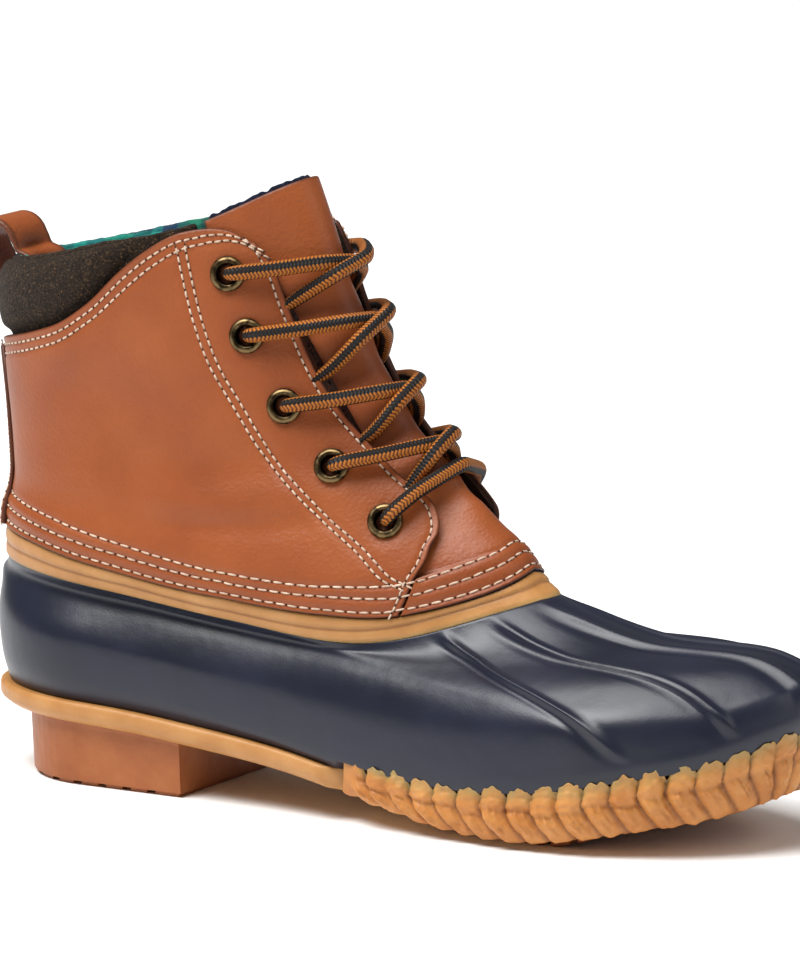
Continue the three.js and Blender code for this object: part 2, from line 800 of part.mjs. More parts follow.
// The strip that covers the quarters' back seam
function backStay() {
  const columns = [1, 0.5, 0, -0.5, -1];
  const rows = steps(6.8, 9.8, 8);
  const face = (lift) => (share, level) => {
    const side = -share * sideStep(0, level, stayWidth / 2);
    return place((side + 1) % 1, level, marginOut(level) + gap + lift);
  };
  return wall(columns, rows, face(stayThickness), face(0));
}

// Distance that a face of the shaft's back bows forward at a distance y from the middle
function backBow(y, level, out) {
  const beyond = place(0.03, level, out);
  const middle = place(0, level, out);
  return (beyond.x - middle.x) * (y / beyond.y) ** 2;
}

// The pull loop: a strap from the outside of the cuff up over its back edge, bowed
// forward, and down inside. Its two ends curve with the faces that they lie on.
function pullLoop() {
  const level = 10.3;
  const innerFace = leatherWall + seatGap + feltThickness;
  const thick = loopThickness / 2;
  const base = place(0, level, 0);
  const top = place(0, tongueTop, 0);
  const felt = Math.max(cuffSwell - leatherWall - seatGap, 0);
  const outside = Math.min(base.x, top.x) - felt - gap - thick;
  const centreX = outside - loopLean + loopReach / 2;
  const inside = base.x + innerFace + seatGap + thick;
  const radius = loopReach / 2;
  const centre = top.z + loopRise - radius - thick;
  const path = [[outside, base.z], [outside - 0.2 * loopLean, mix(base.z, centre, 0.5)]];
  steps(Math.PI, -0.2, 9).forEach((turn) => {
    path.push([centreX + radius * Math.cos(turn), centre + radius * Math.sin(turn)]);
  });
  const [bowX, bowZ] = path[path.length - 1];
  const foot = base.z + loopFoot;
  [0.12, 0.35, 0.7, 1].forEach((t) => path.push([mix(bowX, inside, smooth(t / 0.12)), mix(bowZ, foot, t)]));
  const last = path.length - 1;
  const face = (offset) => (width, index) => {
    const before = path[Math.max(index - 1, 0)];
    const after = path[Math.min(index + 1, last)];
    const run = Math.hypot(after[0] - before[0], after[1] - before[1]);
    const [x, z] = path[index];
    const y = width * loopWidth / 2;
    const curl = smooth((index - last + 4) / 1.2) * backBow(y, level, -innerFace);
    const shiftX = offset * (before[1] - after[1]) / run;
    const shiftZ = offset * (after[0] - before[0]) / run;
    return new THREE.Vector3(x + shiftX + curl, y, z + shiftZ);
  };
  return wall([1, 0, -1], path.map((_, index) => index), face(thick), face(-thick));
}

function turnTo(normal) {
  return new THREE.Quaternion().setFromUnitVectors(new THREE.Vector3(0, 0, 1), normal);
}

// An eyelet: a barrel through the leather with a rolled flange on the outside
function eyelet() {
  const bore = eyeletBore / 2;
  const barrel = eyeletBarrel / 2;
  const rim = eyeletDiameter / 2;
  const profile = [
    [bore, -leatherWall],
    [barrel, -leatherWall],
    [barrel, eyeletSeat],
    [rim, eyeletSeat],
    [mix(barrel, rim, 0.6), eyeletSeat + eyeletCrown],
    [bore, eyeletSeat + eyeletCrown * 0.5],
    [bore, -leatherWall],
  ].map(([radius, height]) => new THREE.Vector2(radius, height));
  return new THREE.LatheGeometry(profile, 10).rotateX(Math.PI / 2);
}

// One strand of lace through points given as side, level and distance out from the last
function strand(route) {
  const path = new THREE.CatmullRomCurve3(route.map(([side, level, out]) => place(side, level, out)));
  const corners = 8;
  const section = new THREE.Shape(steps(0, 1, corners).slice(1).map((t) => new THREE.Vector2(
    laceDiameter / 2 * Math.cos(2 * Math.PI * t), laceDiameter / 2 * Math.sin(2 * Math.PI * t),
  )));
  return toSolid(new THREE.ExtrudeGeometry(section, { steps: 12, extrudePath: path, bevelEnabled: false }));
}

const laceRest = laceDiameter / 2 + gap;
const overEyelet = eyeletSeat + eyeletCrown + laceRest + gap;

// A route from an eyelet on one side, over the flap's edge and the crest, down to the
// other flap's edge
function crossingRoute(index, hand, lift) {
  const [level, side] = eyeletTable.rows[index];
  const [crest, emerge] = crossingTable.rows[index];
  const turn = (share) => (hand < 0 ? share : 1 - share);
  const edge = flapSide(level);
  const landing = 1 - flapSide(emerge) - 0.016;
  const top = laceRest + laceBulge + 0.5 * tongueSwell + lift;
  return [
    [turn(side), level, marginOut(level) + overEyelet],
    [turn(edge), mix(level, crest, 0.4), laceRest + laceBulge * 0.7 + lift * 0.2],
    [turn(0.5), crest, top],
    [turn(mix(0.5, landing, 0.5)), mix(crest, emerge, 0.45), laceRest + tongueSwell + lift * 0.7],
    [turn(landing), emerge, tongueOut(landing, emerge) + laceRest + gap],
  ];
}

function crossing(index) {
  const under = strand(crossingRoute(index, -1, 0));
  const over = strand(crossingRoute(index, 1, laceDiameter * 0.8));
  return fromSolid(under.add(over));
}

function laceBar() {
  const [level, side] = eyeletTable.rows[4];
  const crest = level + 0.3;
  const overFlap = laceRest + laceBulge / 2;
  const route = [
    [side, level, marginOut(level) + overEyelet],
    [0.43, mix(level, crest, 0.6), overFlap],
  ];
  const mirrored = route.map(([turn, height, out]) => [1 - turn, height, out]).reverse();
  return fromSolid(strand([...route, [0.5, crest, overFlap + tongueSwell], ...mirrored]));
}

const gum = { color: 0xb8864f, roughness: 0.6, metalness: 0 };
const navyRubber = { color: 0x2c3140, roughness: 0.45, metalness: 0 };
const leather = { color: 0xa85a35, roughness: 0.55, metalness: 0 };
const felt = { color: 0x3a3229, roughness: 0.95, metalness: 0 };
const brass = { color: 0x6e5a3c, roughness: 0.4, metalness: 1 };
const cotton = { color: 0x4a3122, roughness: 0.85, metalness: 0 };
const board = { color: 0x6b7f78, roughness: 0.9, metalness: 0 };

const boot = new THREE.Group();

function add(name, geometry, finish) {
  const mesh = new THREE.Mesh(geometry, new THREE.MeshStandardMaterial(finish));
  mesh.name = name;
  boot.add(mesh);
  return mesh;
}

add('outsole', outsole(), gum);
add('heel', heelBlock(), gum);
add('rand', rand(), gum);
add('rubber_shell', shell(), navyRubber);
add('insole', insole(), board);
add('top_binding', binding(), gum);
add('leather_quarters', quarters(), leather);
add('tongue', tongue(), leather);
add('collar_cuff', cuff(), felt);
add('back_stay', backStay(), leather);
add('pull_loop', pullLoop(), leather);

[[-1, 'outer'], [1, 'inner']].forEach(([hand, word]) => {
  eyeletTable.rows.forEach((_, index) => {
    const { centre, normal } = eyeletSpot(index, hand);
    const mesh = add(`eyelet_${word}_${index + 1}`, eyelet(), brass);
    mesh.position.copy(centre);
    mesh.quaternion.copy(turnTo(normal));
  });
});

crossingTable.rows.forEach((_, index) => {
  add(`lace_crossing_${index + 1}`, crossing(index), cotton);
});
add('lace_bar', laceBar(), cotton);

export default boot;
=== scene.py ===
"""Finish of a right duck boot: gum rubber sole, moulded rubber shell, leather shaft, felt cuff.

Lengths in this script are millimetres unless a name says otherwise. +X points to the toe,
-Y to the outer side of the foot, +Z up, from the middle of the heel's floor face.
"""
import math

import bmesh
import bpy
import numpy as np
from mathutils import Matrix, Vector
from mathutils.bvhtree import BVHTree


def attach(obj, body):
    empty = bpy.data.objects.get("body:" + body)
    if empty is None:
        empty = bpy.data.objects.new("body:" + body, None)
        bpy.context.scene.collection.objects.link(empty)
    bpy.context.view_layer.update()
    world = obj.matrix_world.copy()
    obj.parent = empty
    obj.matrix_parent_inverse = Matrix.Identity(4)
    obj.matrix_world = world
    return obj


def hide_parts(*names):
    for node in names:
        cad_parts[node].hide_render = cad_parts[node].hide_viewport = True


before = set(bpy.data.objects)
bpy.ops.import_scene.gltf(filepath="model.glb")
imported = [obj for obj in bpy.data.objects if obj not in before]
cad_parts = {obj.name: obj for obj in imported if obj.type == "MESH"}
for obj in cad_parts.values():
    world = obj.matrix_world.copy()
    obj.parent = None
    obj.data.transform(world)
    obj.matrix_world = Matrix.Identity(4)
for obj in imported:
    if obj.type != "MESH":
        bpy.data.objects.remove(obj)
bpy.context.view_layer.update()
MM = 0.001

# Driving sizes of the last and the sole
SOLE_LENGTH = 280.0
BALL_WIDTH = 100.0
LEG_WIDTH = 60.0
UPPER_HEIGHT = 164.0
HEEL_RISE = 18.4
TOE_SPRING = 18.4
SOLE_THICKNESS = 7.0
TREAD_DEPTH = 2.6

# Walls and clearances
RUBBER_WALL = 2.4
LEATHER_WALL = 2.2
FELT_THICKNESS = 4.6
RAND_WALL = 2.4
GAP = 0.3
SEAT_GAP = 0.5

# Sole, heel and rand
BAND_REACH = 3.0
BAND_CHAMFER = 3.0
HEEL_LENGTH = 68.0
HEEL_WIDTH = 60.0
HEEL_DRAFT = 1.2
LUG_GROOVE = 3.0
LUG_PITCH = 9.0
GROOVE_DEPTH = 1.9
LUG_SHOWN = 1.3
PAD_INSET = 11.0
PAD_SINK = 0.8
CRIMP_PITCH = 8.8

# Shell: its ridges, the shallow trough beside each one, and the bump at its back
RIDGE_HEIGHT = 1.38
RIDGE_WIDTH = 1.9
TROUGH_DEPTH = 0.4
TROUGH_AT = 4.2
TROUGH_WIDTH = 2.2
BUMP_HEIGHT = 2.0
BUMP_LEVEL = 4.6
BUMP_WIDTH = 8.0

# Leather and felt
MARGIN_STEP = 2.7
FLAP_CLEARANCE = 0.8
TONGUE_SWELL = 1.8
CUFF_SWELL = 4.2
STAY_THICKNESS = 1.4
STAY_WIDTH = 21.0
LOOP_WIDTH = 20.0
LOOP_THICKNESS = 1.8
LOOP_RISE = 13.0
LOOP_REACH = 15.0
LOOP_LEAN = 6.0
LOOP_FOOT = 3.0
LOOP_LEVEL = 10.3

# Eyelets, lace and thread
EYELET_CROWN = 1.5
EYELET_SEAT = 0.5
LACE_DIAMETER = 4.8
LACE_BULGE = 3.2

# Rows of stitches: their distances from an edge or seam, and from stitch to stitch
MARGIN_ROWS = (2.0, 6.6, 11.0)
TOP_ROWS = (2.6, 5.4)
FRONT_ROW = 2.6
STRAP_ROW = 2.2
FACING_ROW = 1.4
COARSE_PITCH = 3.9
FINE_PITCH = 2.7

# Thread, the part of the pitch that a stitch fills, the painted shade of a needle's hole,
# and the groove that a row presses into the leather
THREAD = 0.66
STITCH_SHARE = 0.87
HOLE_SHADE_LENGTH = 0.7
GROOVE_SUNK = 0.42
GROOVE_WIDTH = 0.95

# Cut edges of the leather: their rounding, and how far the darker cut reaches on each face
CUT_RADIUS = 0.5
CUT_REACH = 0.55
BACK_CUT_REACH = 2.0

# The smallest gap, between faces that would lie in one plane
HAIR = 0.05

# Places on the last: where the origin lies along it, levels up the boot, sides around it
ORIGIN_AT = 0.15 * SOLE_LENGTH
RIM_LEVEL = 6.0
BINDING_TOP = 7.0
RAND_START = 0.2515
BAND_END = RAND_START - 0.006
CUFF_END = 0.333
TONGUE_START = 0.345
TONGUE_TOP = 11.0
PAD_START = 0.285
BUTTED = BINDING_TOP + 0.04
DROPPED = BUTTED + 0.1


def table(columns, rows):
    return {"columns": columns, "rows": np.array(rows, float)}


# Half widths of the sole along its length, as shares of the ball width
PLAN = table(["at", "outer_side", "inner_side"], [
    [0.00, 0.330, 0.330],
    [0.12, 0.345, 0.340],
    [0.25, 0.340, 0.325],
    [0.40, 0.345, 0.305],
    [0.52, 0.390, 0.335],
    [0.62, 0.440, 0.400],
    [0.71, 0.475, 0.445],
    [0.80, 0.478, 0.445],
    [0.90, 0.455, 0.410],
    [1.00, 0.430, 0.380],
])

# Underside of the sole: a share of the heel rise and of the toe spring
SOLE = table(["at", "rise", "spring"], [
    [0.00, 1.00, 0.00],
    [0.10, 0.98, 0.00],
    [0.20, 0.91, 0.00],
    [0.30, 0.77, 0.00],
    [0.40, 0.60, 0.00],
    [0.50, 0.36, 0.00],
    [0.56, 0.20, 0.00],
    [0.62, 0.06, 0.00],
    [0.68, 0.00, 0.00],
    [0.74, 0.00, 0.02],
    [0.80, 0.00, 0.16],
    [0.86, 0.00, 0.34],
    [0.93, 0.00, 0.56],
    [1.00, 0.00, 1.00],
])

# The last, one row for each level: shares of the sole length, ball width, leg width and
# upper height, and heights from heel to toe
LAST = table(
    ["level", "back", "toe", "bend", "widen", "leg", "mix", "round_back", "round_toe",
     "h0", "h1", "h2", "h3", "h4", "follow"],
    [
        [0, -0.003, 0.975, 0.080, -0.030, 0.50, 0.00, 0.150, 0.207, 0.000, 0.000, 0.000, 0.000, 0.000, 1],
        [1, -0.010, 0.996, 0.085, -0.005, 0.50, 0.00, 0.150, 0.207, 0.052, 0.040, 0.024, 0.055, 0.063, 1],
        [2, -0.015, 1.000, 0.085, 0.000, 0.50, 0.00, 0.157, 0.214, 0.110, 0.100, 0.091, 0.091, 0.100, 1],
        [3, -0.016, 0.988, 0.085, -0.010, 0.50, 0.00, 0.164, 0.236, 0.152, 0.131, 0.140, 0.173, 0.158, 1],
        [4, -0.015, 0.943, 0.080, -0.040, 0.50, 0.10, 0.171, 0.286, 0.186, 0.155, 0.122, 0.110, 0.181, 0],
        [5, -0.011, 0.807, 0.060, -0.080, 0.53, 0.30, 0.179, 0.339, 0.213, 0.189, 0.155, 0.143, 0.192, 0],
        [6, -0.006, 0.682, 0.030, -0.120, 0.58, 0.75, 0.186, 0.357, 0.241, 0.220, 0.189, 0.171, 0.259, 0],
        [7, 0.004, 0.636, 0.010, -0.120, 0.58, 0.90, 0.186, 0.339, 0.320, 0.293, 0.259, 0.247, 0.332, 0],
        [8, 0.007, 0.586, 0.000, -0.120, 0.57, 1.00, 0.186, 0.304, 0.396, 0.375, 0.354, 0.354, 0.415, 0],
        [9, 0.000, 0.496, 0.000, -0.120, 0.53, 1.00, 0.179, 0.268, 0.524, 0.512, 0.506, 0.518, 0.567, 0],
        [10, -0.009, 0.429, 0.000, -0.120, 0.52, 1.00, 0.171, 0.236, 0.665, 0.677, 0.695, 0.720, 0.774, 0],
        [11, -0.012, 0.375, 0.000, -0.120, 0.50, 1.00, 0.161, 0.214, 0.799, 0.829, 0.872, 0.918, 1.000, 0],
    ])

# In the next tables side 0 is the heel and 0.5 the toe, on both halves of the boot

# The leather's lower edge, over the binding
MARGIN = table(["side", "level"], [
    [0.00, 6.74],
    [0.11, 6.78],
    [0.16, 6.70],
    [0.22, 6.66],
    [0.27, 6.71],
    [0.32, 6.70],
    [0.365, 6.46],
    [0.41, 6.34],
    [0.45, 6.36],
    [0.50, 6.52],
])
# The quarters' upper edge
TOP_LINE = table(["side", "level"], [
    [0.00, 9.88],
    [0.07, 9.95],
    [0.175, 10.18],
    [0.216, 10.40],
    [0.252, 10.68],
    [0.283, 10.86],
    [0.315, 10.96],
    [0.345, 10.93],
    [0.369, 10.83],
    [0.392, 10.66],
    [0.50, 10.50],
])
# The flaps' free edge over the tongue
FLAP = table(["level", "side"], [
    [6.46, 0.365],
    [7.00, 0.384],
    [7.33, 0.403],
    [7.58, 0.415],
    [7.73, 0.427],
    [7.96, 0.439],
    [8.19, 0.445],
    [8.39, 0.437],
    [8.89, 0.425],
    [9.40, 0.410],
    [10.04, 0.405],
    [10.36, 0.404],
    [10.55, 0.398],
    [10.90, 0.375],
])
# The seam behind the eyelets
FACING = table(["level", "side"], [
    [6.95, 0.378],
    [7.20, 0.370],
    [7.78, 0.362],
    [8.24, 0.350],
    [8.81, 0.337],
    [9.34, 0.328],
    [9.75, 0.319],
    [10.21, 0.317],
    [10.81, 0.319],
])
# The eyelets' middles, from the top
EYELETS = table(["level", "side"], [
    [10.49, 0.356],
    [9.94, 0.356],
    [9.31, 0.366],
    [8.71, 0.380],
    [8.06, 0.392],
])
# The three ridges of each half of the shell
RIDGES = table(["level", "outer", "middle", "crest"], [
    [0.00, 0.395, 0.438, 0.480],
    [1.60, 0.381, 0.433, 0.480],
    [3.10, 0.357, 0.418, 0.480],
    [4.20, 0.347, 0.405, 0.478],
    [5.20, 0.362, 0.406, 0.471],
    [6.00, 0.381, 0.419, 0.470],
])
# Where each strand crosses the crest, and where it dips under the far flap
CROSSINGS = table(["crest", "emerge"], [
    [10.28, 10.14],
    [9.80, 9.52],
    [9.18, 8.93],
    [8.60, 8.45],
])


def mix(a, b, t):
    return a + (b - a) * t


def smooth(t):
    s = np.clip(t, 0, 1)
    return s * s * (3 - 2 * s)


def bell(distance, width):
    return np.exp(-(distance / width) ** 2)


def look_up(source, at):
    """Values of a table's columns at places along its first column, on a smooth curve."""
    rows = source["rows"]
    keys = rows[:, 0]
    last = len(rows) - 1
    low = np.maximum(np.arange(last + 1) - 1, 0)
    high = np.minimum(np.arange(last + 1) + 1, last)
    slopes = (rows[high] - rows[low]) / (keys[high] - keys[low])[:, None]
    x = np.clip(np.asarray(at, float), keys[0], keys[last])
    i = np.clip(np.searchsorted(keys, x, side="right") - 1, 0, last - 1)
    h = keys[i + 1] - keys[i]
    t = (x - keys[i]) / h
    a = 2 * t ** 3 - 3 * t ** 2 + 1
    b = t ** 3 - 2 * t ** 2 + t
    c = t ** 3 - t ** 2
    found = {}
    for k, name in enumerate(source["columns"]):
        found[name] = (a * rows[i, k] + b * h * slopes[i, k]
                       + (1 - a) * rows[i + 1, k] + c * h * slopes[i + 1, k])
    return found


def along_foot(heights, share):
    """Five heights from heel to toe, blended along the length."""
    values = np.stack(np.broadcast_arrays(*heights), -1)
    i = np.clip(np.floor(share * 4).astype(int), 0, 3)
    t = share * 4 - i

    def pick(k):
        return np.take_along_axis(values, np.clip(k, 0, 4)[..., None], -1)[..., 0]

    a, b = pick(i), pick(i + 1)
    slope_a = np.where(i > 0, (b - pick(i - 1)) / 2, b - a)
    slope_b = np.where(i < 3, (pick(i + 2) - a) / 2, b - a)
    keep = 2 * t ** 3 - 3 * t ** 2 + 1
    return keep * a + (t ** 3 - 2 * t ** 2 + t) * slope_a + (1 - keep) * b + (t ** 3 - t ** 2) * slope_b


def round_end(distance, radius):
    """A width's share that rounds off within a radius of an end."""
    t = 1 - np.clip(distance / radius, 0, 1)
    return np.sqrt(np.maximum(1 - t * t, 0))


def sole_bottom(x):
    """Height of the platform's underside, x along the sole from its back."""
    row = look_up(SOLE, x / SOLE_LENGTH)
    return TREAD_DEPTH + np.maximum(row["rise"], 0) * HEEL_RISE + np.maximum(row["spring"], 0) * TOE_SPRING


def sole_top(x):
    return sole_bottom(x) + SOLE_THICKNESS


HEEL_SEAT = TREAD_DEPTH + HEEL_RISE + SOLE_THICKNESS


def last_point(side, level):
    """A point of the last. Side runs around it from 0 at the heel over 0.25 on the outer
    side and 0.5 at the toe to 1; level runs up it, from 0 at the feather line."""
    side, level = np.broadcast_arrays(np.asarray(side, float), np.asarray(level, float))
    row = look_up(LAST, level)
    turn = side % 1
    hand = np.where(turn <= 0.5, -1.0, 1.0)
    along = (1 - np.cos(2 * np.pi * np.minimum(turn, 1 - turn))) / 2
    back = row["back"] * SOLE_LENGTH
    toe = row["toe"] * SOLE_LENGTH
    x = back + (toe - back) * along
    plan = look_up(PLAN, x / SOLE_LENGTH)
    foot = (np.where(hand < 0, plan["outer_side"], plan["inner_side"]) + row["widen"]) * BALL_WIDTH
    width = (mix(foot, row["leg"] * LEG_WIDTH, row["mix"])
             * round_end(x - back, row["round_back"] * SOLE_LENGTH)
             * round_end(toe - x, row["round_toe"] * SOLE_LENGTH))
    bend = row["bend"] * BALL_WIDTH * smooth((x / SOLE_LENGTH - 0.45) / 0.5)
    rise = along_foot([row[k] for k in ("h0", "h1", "h2", "h3", "h4")], along) * UPPER_HEIGHT
    base = mix(HEEL_SEAT, sole_top(x), row["follow"])
    return np.stack([x, bend + hand * width, rise + base], -1)


def unit(vectors):
    return vectors / np.maximum(np.linalg.norm(vectors, axis=-1, keepdims=True), 1e-9)


def last_normal(side, level):
    """The way out of the last at a point of it."""
    e = 0.002
    side, level = np.broadcast_arrays(np.asarray(side, float), np.asarray(level, float))
    low = np.clip(level - e, 0, TONGUE_TOP - 2 * e)
    across = last_point(side + e, level) - last_point(side - e, level)
    up = last_point(side, low + 2 * e) - last_point(side, low)
    return unit(np.cross(across, up))


def place(side, level, out):
    """Points of the boot, a distance out from the last."""
    out = np.asarray(out, float)
    point = last_point(side, level) + last_normal(side, level) * out[..., None]
    return point - np.array([ORIGIN_AT, 0, 0])


def beside(side, level, out, height):
    """Points beside the sole: out from the feather line in plan, at a height over x."""
    point = last_point(side, level)
    normal = last_normal(side, level) * np.array([1, 1, 0])
    point = point + unit(normal) * np.asarray(out, float)[..., None]
    z = height(point[..., 0])
    return np.stack([point[..., 0] - ORIGIN_AT, point[..., 1], z], -1)


def side_step(side, level, length):
    """The change of side that walks a length around the last."""
    e = 0.001
    span = np.linalg.norm(last_point(side + e, level) - last_point(side - e, level), axis=-1)
    return length * 2 * e / span


def half(side):
    """A side place's distance from the heel, 0 to 0.5 on both halves."""
    return np.minimum(side % 1, 1 - side % 1)


def margin_out(level):
    """How far the leather steps out over the binding, fading up the boot."""
    return MARGIN_STEP * (1 - smooth((level - 7.1) / 1.1))


def waves(points, pitch, seed):
    """Soft uneven relief between -1 and 1, from a few waves in seeded directions."""
    rng = np.random.default_rng(seed)
    total = np.zeros(points.shape[:-1])
    for _ in range(7):
        direction = rng.normal(size=3)
        direction /= np.linalg.norm(direction)
        size = pitch * rng.uniform(0.6, 1.6)
        total += np.sin(points @ direction * 2 * np.pi / size + rng.uniform(0, 6.28))
    return total / 4.0


def near(points, path, width):
    """1 on a path of points, falling to 0 at about twice the width from it."""
    flat = points.reshape(-1, 3)
    best = np.full(len(flat), np.inf)
    batch = 64
    for start in range(0, len(path), batch):
        some = path[start:start + batch]
        d = ((flat[:, None, :] - some[None]) ** 2).sum(-1).min(1)
        best = np.minimum(best, d)
    return bell(np.sqrt(best), width).reshape(points.shape[:-1])


def add_mesh(name, points, faces, uv=None, attributes=None):
    mesh = bpy.data.meshes.new(name)
    mesh.from_pydata((np.asarray(points).reshape(-1, 3) * MM).tolist(), [], faces)
    mesh.polygons.foreach_set("use_smooth", [True] * len(mesh.polygons))
    if uv is not None:
        layer = mesh.uv_layers.new(name="pattern")
        layer.data.foreach_set("uv", np.asarray(uv, float).reshape(-1))
    for key, values in (attributes or {}).items():
        layer = mesh.attributes.new(key, "FLOAT", "POINT")
        layer.data.foreach_set("value", np.asarray(values, float).reshape(-1))
    mesh.update()
    mesh.validate()
    obj = bpy.data.objects.new(name, mesh)
    bpy.context.scene.collection.objects.link(obj)
    return obj


def skin(name, points, ring=False, loop=False, caps=False, uv=None, attributes=None, inner_from=None):
    """A body from a grid of points, columns by rows. ring joins the last column to the
    first, loop the last row to the first, caps shut the two end columns. uv has one more
    column or row than the points where they join. Faces from row inner_from on get the
    second material."""
    count, tall = points.shape[:2]
    spans = count if ring else count - 1
    rises = tall if loop else tall - 1
    i, j = np.meshgrid(np.arange(spans), np.arange(rises), indexing="ij")
    i2, j2 = (i + 1) % count, (j + 1) % tall
    quads = np.stack([i * tall + j, i2 * tall + j, i2 * tall + j2, i * tall + j2], -1).reshape(-1, 4)
    faces = quads.tolist()
    corners = None
    if uv is not None:
        corners = np.stack([uv[i, j], uv[i + 1, j], uv[i + 1, j + 1], uv[i, j + 1]], 2).reshape(-1, 2)
    if caps:
        faces.append(list(range(tall)))
        faces.append(list(range(count * tall - 1, (count - 1) * tall - 1, -1)))
        if corners is not None:
            corners = np.concatenate([corners, np.zeros((2 * tall, 2))])
    flat = np.asarray(points).reshape(-1, 3)
    a, b, c, d = (flat[quads[:, k]] for k in range(4))
    volume = (a * (np.cross(b, c) + np.cross(c, d))).sum()
    obj = add_mesh(name, points, faces, corners, attributes)
    if volume < 0:
        obj.data.flip_normals()
    if inner_from is not None:
        index = (np.broadcast_to(np.arange(rises), (spans, rises)) >= inner_from).astype(int).reshape(-1)
        index = np.concatenate([index, np.zeros(len(obj.data.polygons) - len(index), int)])
        obj.data.polygons.foreach_set("material_index", index)
    return obj


def lengths_along(points, axis):
    """Distance along a grid of points from its first row or column."""
    seg = np.linalg.norm(np.diff(points, axis=axis), axis=-1)
    zero = np.zeros_like(np.take(seg, [0], axis))
    return np.concatenate([zero, np.cumsum(seg, axis)], axis)


def eased(distance, radius):
    """How far a face pulls in beside a rounded edge."""
    t = np.clip(1 - distance / radius, 0, 1)
    return radius * (1 - np.sqrt(1 - t * t))


def dense(values, count, fine_share):
    """Places from the first to the last value, closer together beside both ends."""
    low, high = values
    span = high - low
    ends = np.array([0, 0.12, 0.3, 0.55, 0.8, 1.0]) * fine_share * span
    inner = np.linspace(low + fine_share * span, high - fine_share * span, count)
    return np.concatenate([low + ends[:-1], inner, (high - ends[:-1])[::-1]])


def linear(code):
    """An sRGB hex colour as linear RGBA."""
    parts = [int(code[k:k + 2], 16) / 255 for k in (1, 3, 5)]
    return [p / 12.92 if p <= 0.04045 else ((p + 0.055) / 1.055) ** 2.4 for p in parts] + [1.0]


def per_metre(pitch):
    """A texture's scale from the size of its pattern in millimetres."""
    return 1 / (pitch * MM)


def add_node(tree, kind, links=None, stops=None, **settings):
    """A node with its settings and links. A link's key is an input's name or number, and
    its value another node, a socket or a plain value. stops are a colour ramp's places
    and colours."""
    node = tree.nodes.new(kind)
    for key, value in settings.items():
        setattr(node, key, value)
    for key, value in (links or {}).items():
        if isinstance(value, bpy.types.Node):
            tree.links.new(value.outputs[0], node.inputs[key])
        elif isinstance(value, bpy.types.NodeSocket):
            tree.links.new(value, node.inputs[key])
        else:
            node.inputs[key].default_value = value
    for k, (at, code) in enumerate(stops or []):
        elements = node.color_ramp.elements
        element = elements[k] if k < len(elements) else elements.new(at)
        element.position, element.color = at, linear(code)
    return node


def new_material(name, **shader):
    """A material with its shader's constants set on the shader's own sockets."""
    material = bpy.data.materials.new(name)
    material.use_nodes = True
    tree = material.node_tree
    principled = tree.nodes["Principled BSDF"]
    for key, value in shader.items():
        principled.inputs[key.replace("_", " ").title().replace("Ior", "IOR")].default_value = value
    return material, tree, principled


def full_grain_leather():
    """Smooth full-grain cowhide, dyed tan and finished with a thin clear coat: an even
    satin with a fine pore grain, a little lighter and darker in soft blotches, and darker
    where the hide is cut."""
    material, tree, shader = new_material(
        "full_grain_leather_tan", roughness=0.46, specular_ior_level=0.3,
        coat_weight=0.1, coat_roughness=0.34)
    where = add_node(tree, "ShaderNodeTexCoord").outputs["Object"]
    blotch = add_node(tree, "ShaderNodeTexNoise", {"Vector": where, "Scale": per_metre(26), "Detail": 3.0})
    colour = add_node(tree, "ShaderNodeValToRGB", {0: blotch}, [
        (0.3, "#84401A"), (0.5, "#8C461D"), (0.72, "#944D22")])
    fine = add_node(tree, "ShaderNodeTexNoise", {"Vector": where, "Scale": per_metre(1.6), "Detail": 4.0})
    speckle = add_node(tree, "ShaderNodeMath", {0: fine, 1: 0.22}, operation="MULTIPLY")
    colour = add_node(tree, "ShaderNodeMix", {
        0: speckle, 6: colour, 7: linear("#6E3417")}, data_type="RGBA")
    cut = add_node(tree, "ShaderNodeAttribute", attribute_name="cut").outputs["Fac"]
    colour = add_node(tree, "ShaderNodeMix", {
        0: cut, 6: colour.outputs[2], 7: linear("#4A2413")}, data_type="RGBA")
    tree.links.new(colour.outputs[2], shader.inputs["Base Color"])
    pores = add_node(tree, "ShaderNodeTexVoronoi", {
        "Vector": where, "Scale": per_metre(0.95)}, feature="SMOOTH_F1")
    grain = add_node(tree, "ShaderNodeBump", {"Height": pores, "Distance": 0.12 * MM, "Strength": 1.0})
    grain = add_node(tree, "ShaderNodeBump", {
        "Height": fine, "Distance": 0.12 * MM, "Strength": 1.0, "Normal": grain})
    rolling = add_node(tree, "ShaderNodeTexNoise", {"Vector": where, "Scale": per_metre(9), "Detail": 2.0})
    grain = add_node(tree, "ShaderNodeBump", {
        "Height": rolling, "Distance": 0.18 * MM, "Strength": 1.0, "Normal": grain})
    tree.links.new(grain.outputs[0], shader.inputs["Normal"])
    return material


